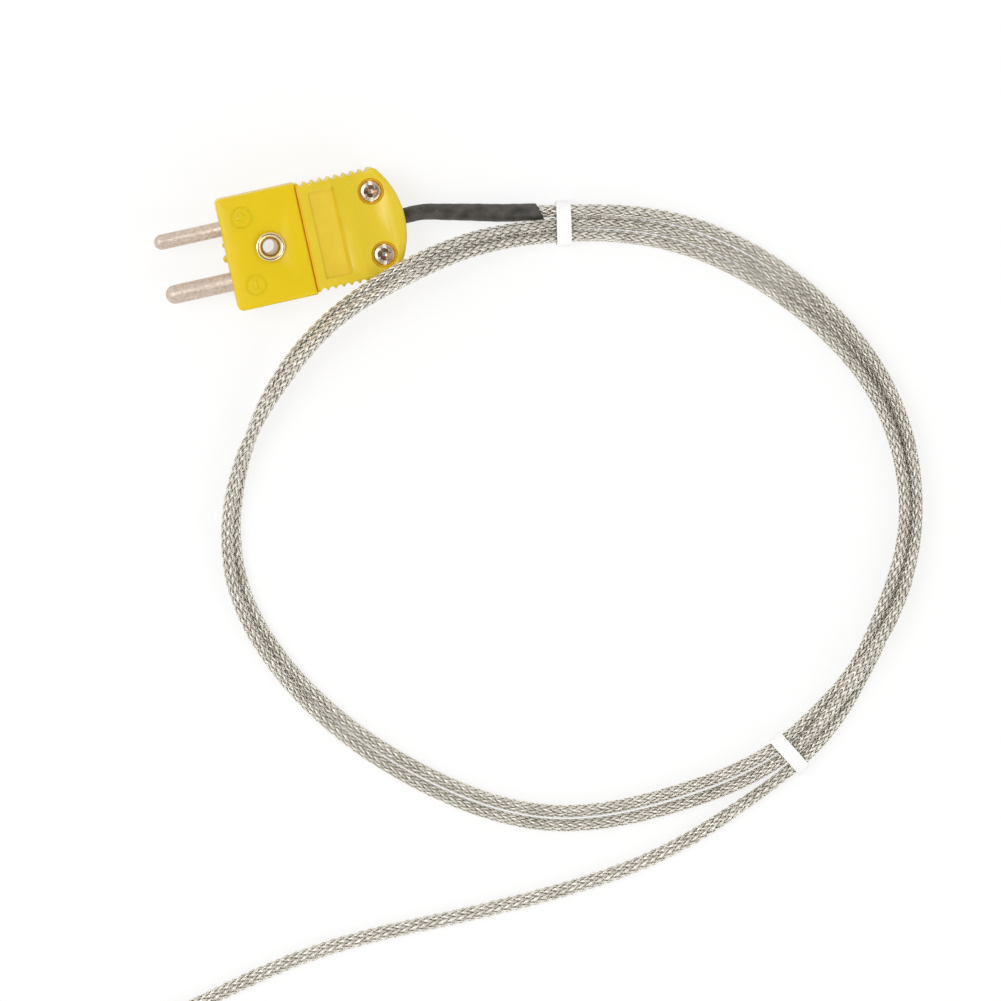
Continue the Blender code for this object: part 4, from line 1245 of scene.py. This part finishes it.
def screw_seats():
    """Moulded rings that close most of the gap round each sunk screw head."""
    low, high = CAP_SCREW_TOP - 0.0010, CAP_SCREW_TOP - 0.00035
    for name, y in (("upper", CAP_SCREW_SPACING / 2), ("lower", -CAP_SCREW_SPACING / 2)):
        profile = [
            (0.00224, low), (0.00224, high - 0.0001), (0.00232, high), (0.00262, high),
            (0.00276, high + 0.0002), (0.00279, high + 0.0002), (0.00279, low),
        ]
        ring = lathe(f"{name}_screw_seat", profile, 48, (CAP_SCREW_X, y, 0), closed=True)
        smooth(ring, 40)
        # The rings' deeper orange is painted recess shade.
        dress(ring, PAINTED_RECESS_YELLOW, "yellow_plastic")


# ---- ties and tip ----

def ties():
    """The two white bands of the loop and the one of the stowed coil."""
    return [
        dress(moulded_copy(name, node, 0.00016, 3), STRAP, "white_tie", node)
        for name, node in (
            ("upper_tie", "tie_band_1"), ("lower_tie", "tie_band_2"), ("stowing_tie", "coil_tie"),
        )
    ]


def probe_tip():
    """The closed tube of the tip, crimped twice on the cable, with a softly rolled mouth."""
    mouth, side = tip_place()
    radius, neck = TIP_RADIUS, TIP_NECK
    inner = radius - TIP_WALL
    profile = [(neck, 0.0003), (neck + 0.0001, 0.0001), (neck + 0.0003, 0.0)]
    profile += [(radius - 0.0002, 0.0), (radius - 0.00004, 0.00008), (radius, 0.0003)]
    for x in CRIMPS:
        for part in range(-4, 5):
            dip = CRIMP_DEPTH * math.cos(part * math.pi / 8) ** 2
            profile.append((radius - dip, x + part * 0.00016))
    profile.append((radius, CABLE_IN_TIP))
    for k in range(11):
        a = math.pi / 2 * k / 10
        profile.append((radius * math.cos(a), TIP_LENGTH - radius + radius * math.sin(a)))
    profile[-1] = (0, TIP_LENGTH)
    bore = TIP_LENGTH - radius
    profile += [(0, bore), (inner * 0.8, bore - 0.0002), (inner, bore - 0.001)]
    profile += [(inner, CABLE_IN_TIP + 0.0004), (neck, CABLE_IN_TIP)]
    piece = lathe(
        "steel_tip", profile, 48, (mouth, side, TIP_Z), (0, math.pi / 2, 0), closed=True
    )
    smooth(piece, 40)
    return dress(piece, SATIN, "stainless_sheath", "probe_sheath")


def dress_inner_nodes():
    """Materials of the model's own nodes that stay."""
    kept = {
        "positive_terminal_screw": PLATED,
        "negative_terminal_screw": PLATED,
        "positive_washer": PLATED,
        "negative_washer": PLATED,
        "positive_conductor": POSITIVE_WIRE,
        "negative_conductor": NEGATIVE_WIRE,
        "ceramic_insulator": CERAMIC,
        "hot_junction": NICKEL,
    }
    for node, material in kept.items():
        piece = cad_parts[node]
        for place in piece.material_slots:
            place.material = material


# ---- all of it ----

def main():
    bpy.context.scene.view_settings.view_transform = "Standard"
    set_camera()
    line, lengths, flat = cable_line()
    cable = FlatCable(line, lengths, flat)
    braid = braided_cable(cable)
    sleeve = shrunk_sleeve(cable)
    bands = ties()
    tip = probe_tip()
    housing()
    polarity_marks()
    rivet()
    contact_pins()
    cap_screws()
    screw_seats()
    dress_inner_nodes()
    set_table()
    set_light()


main()
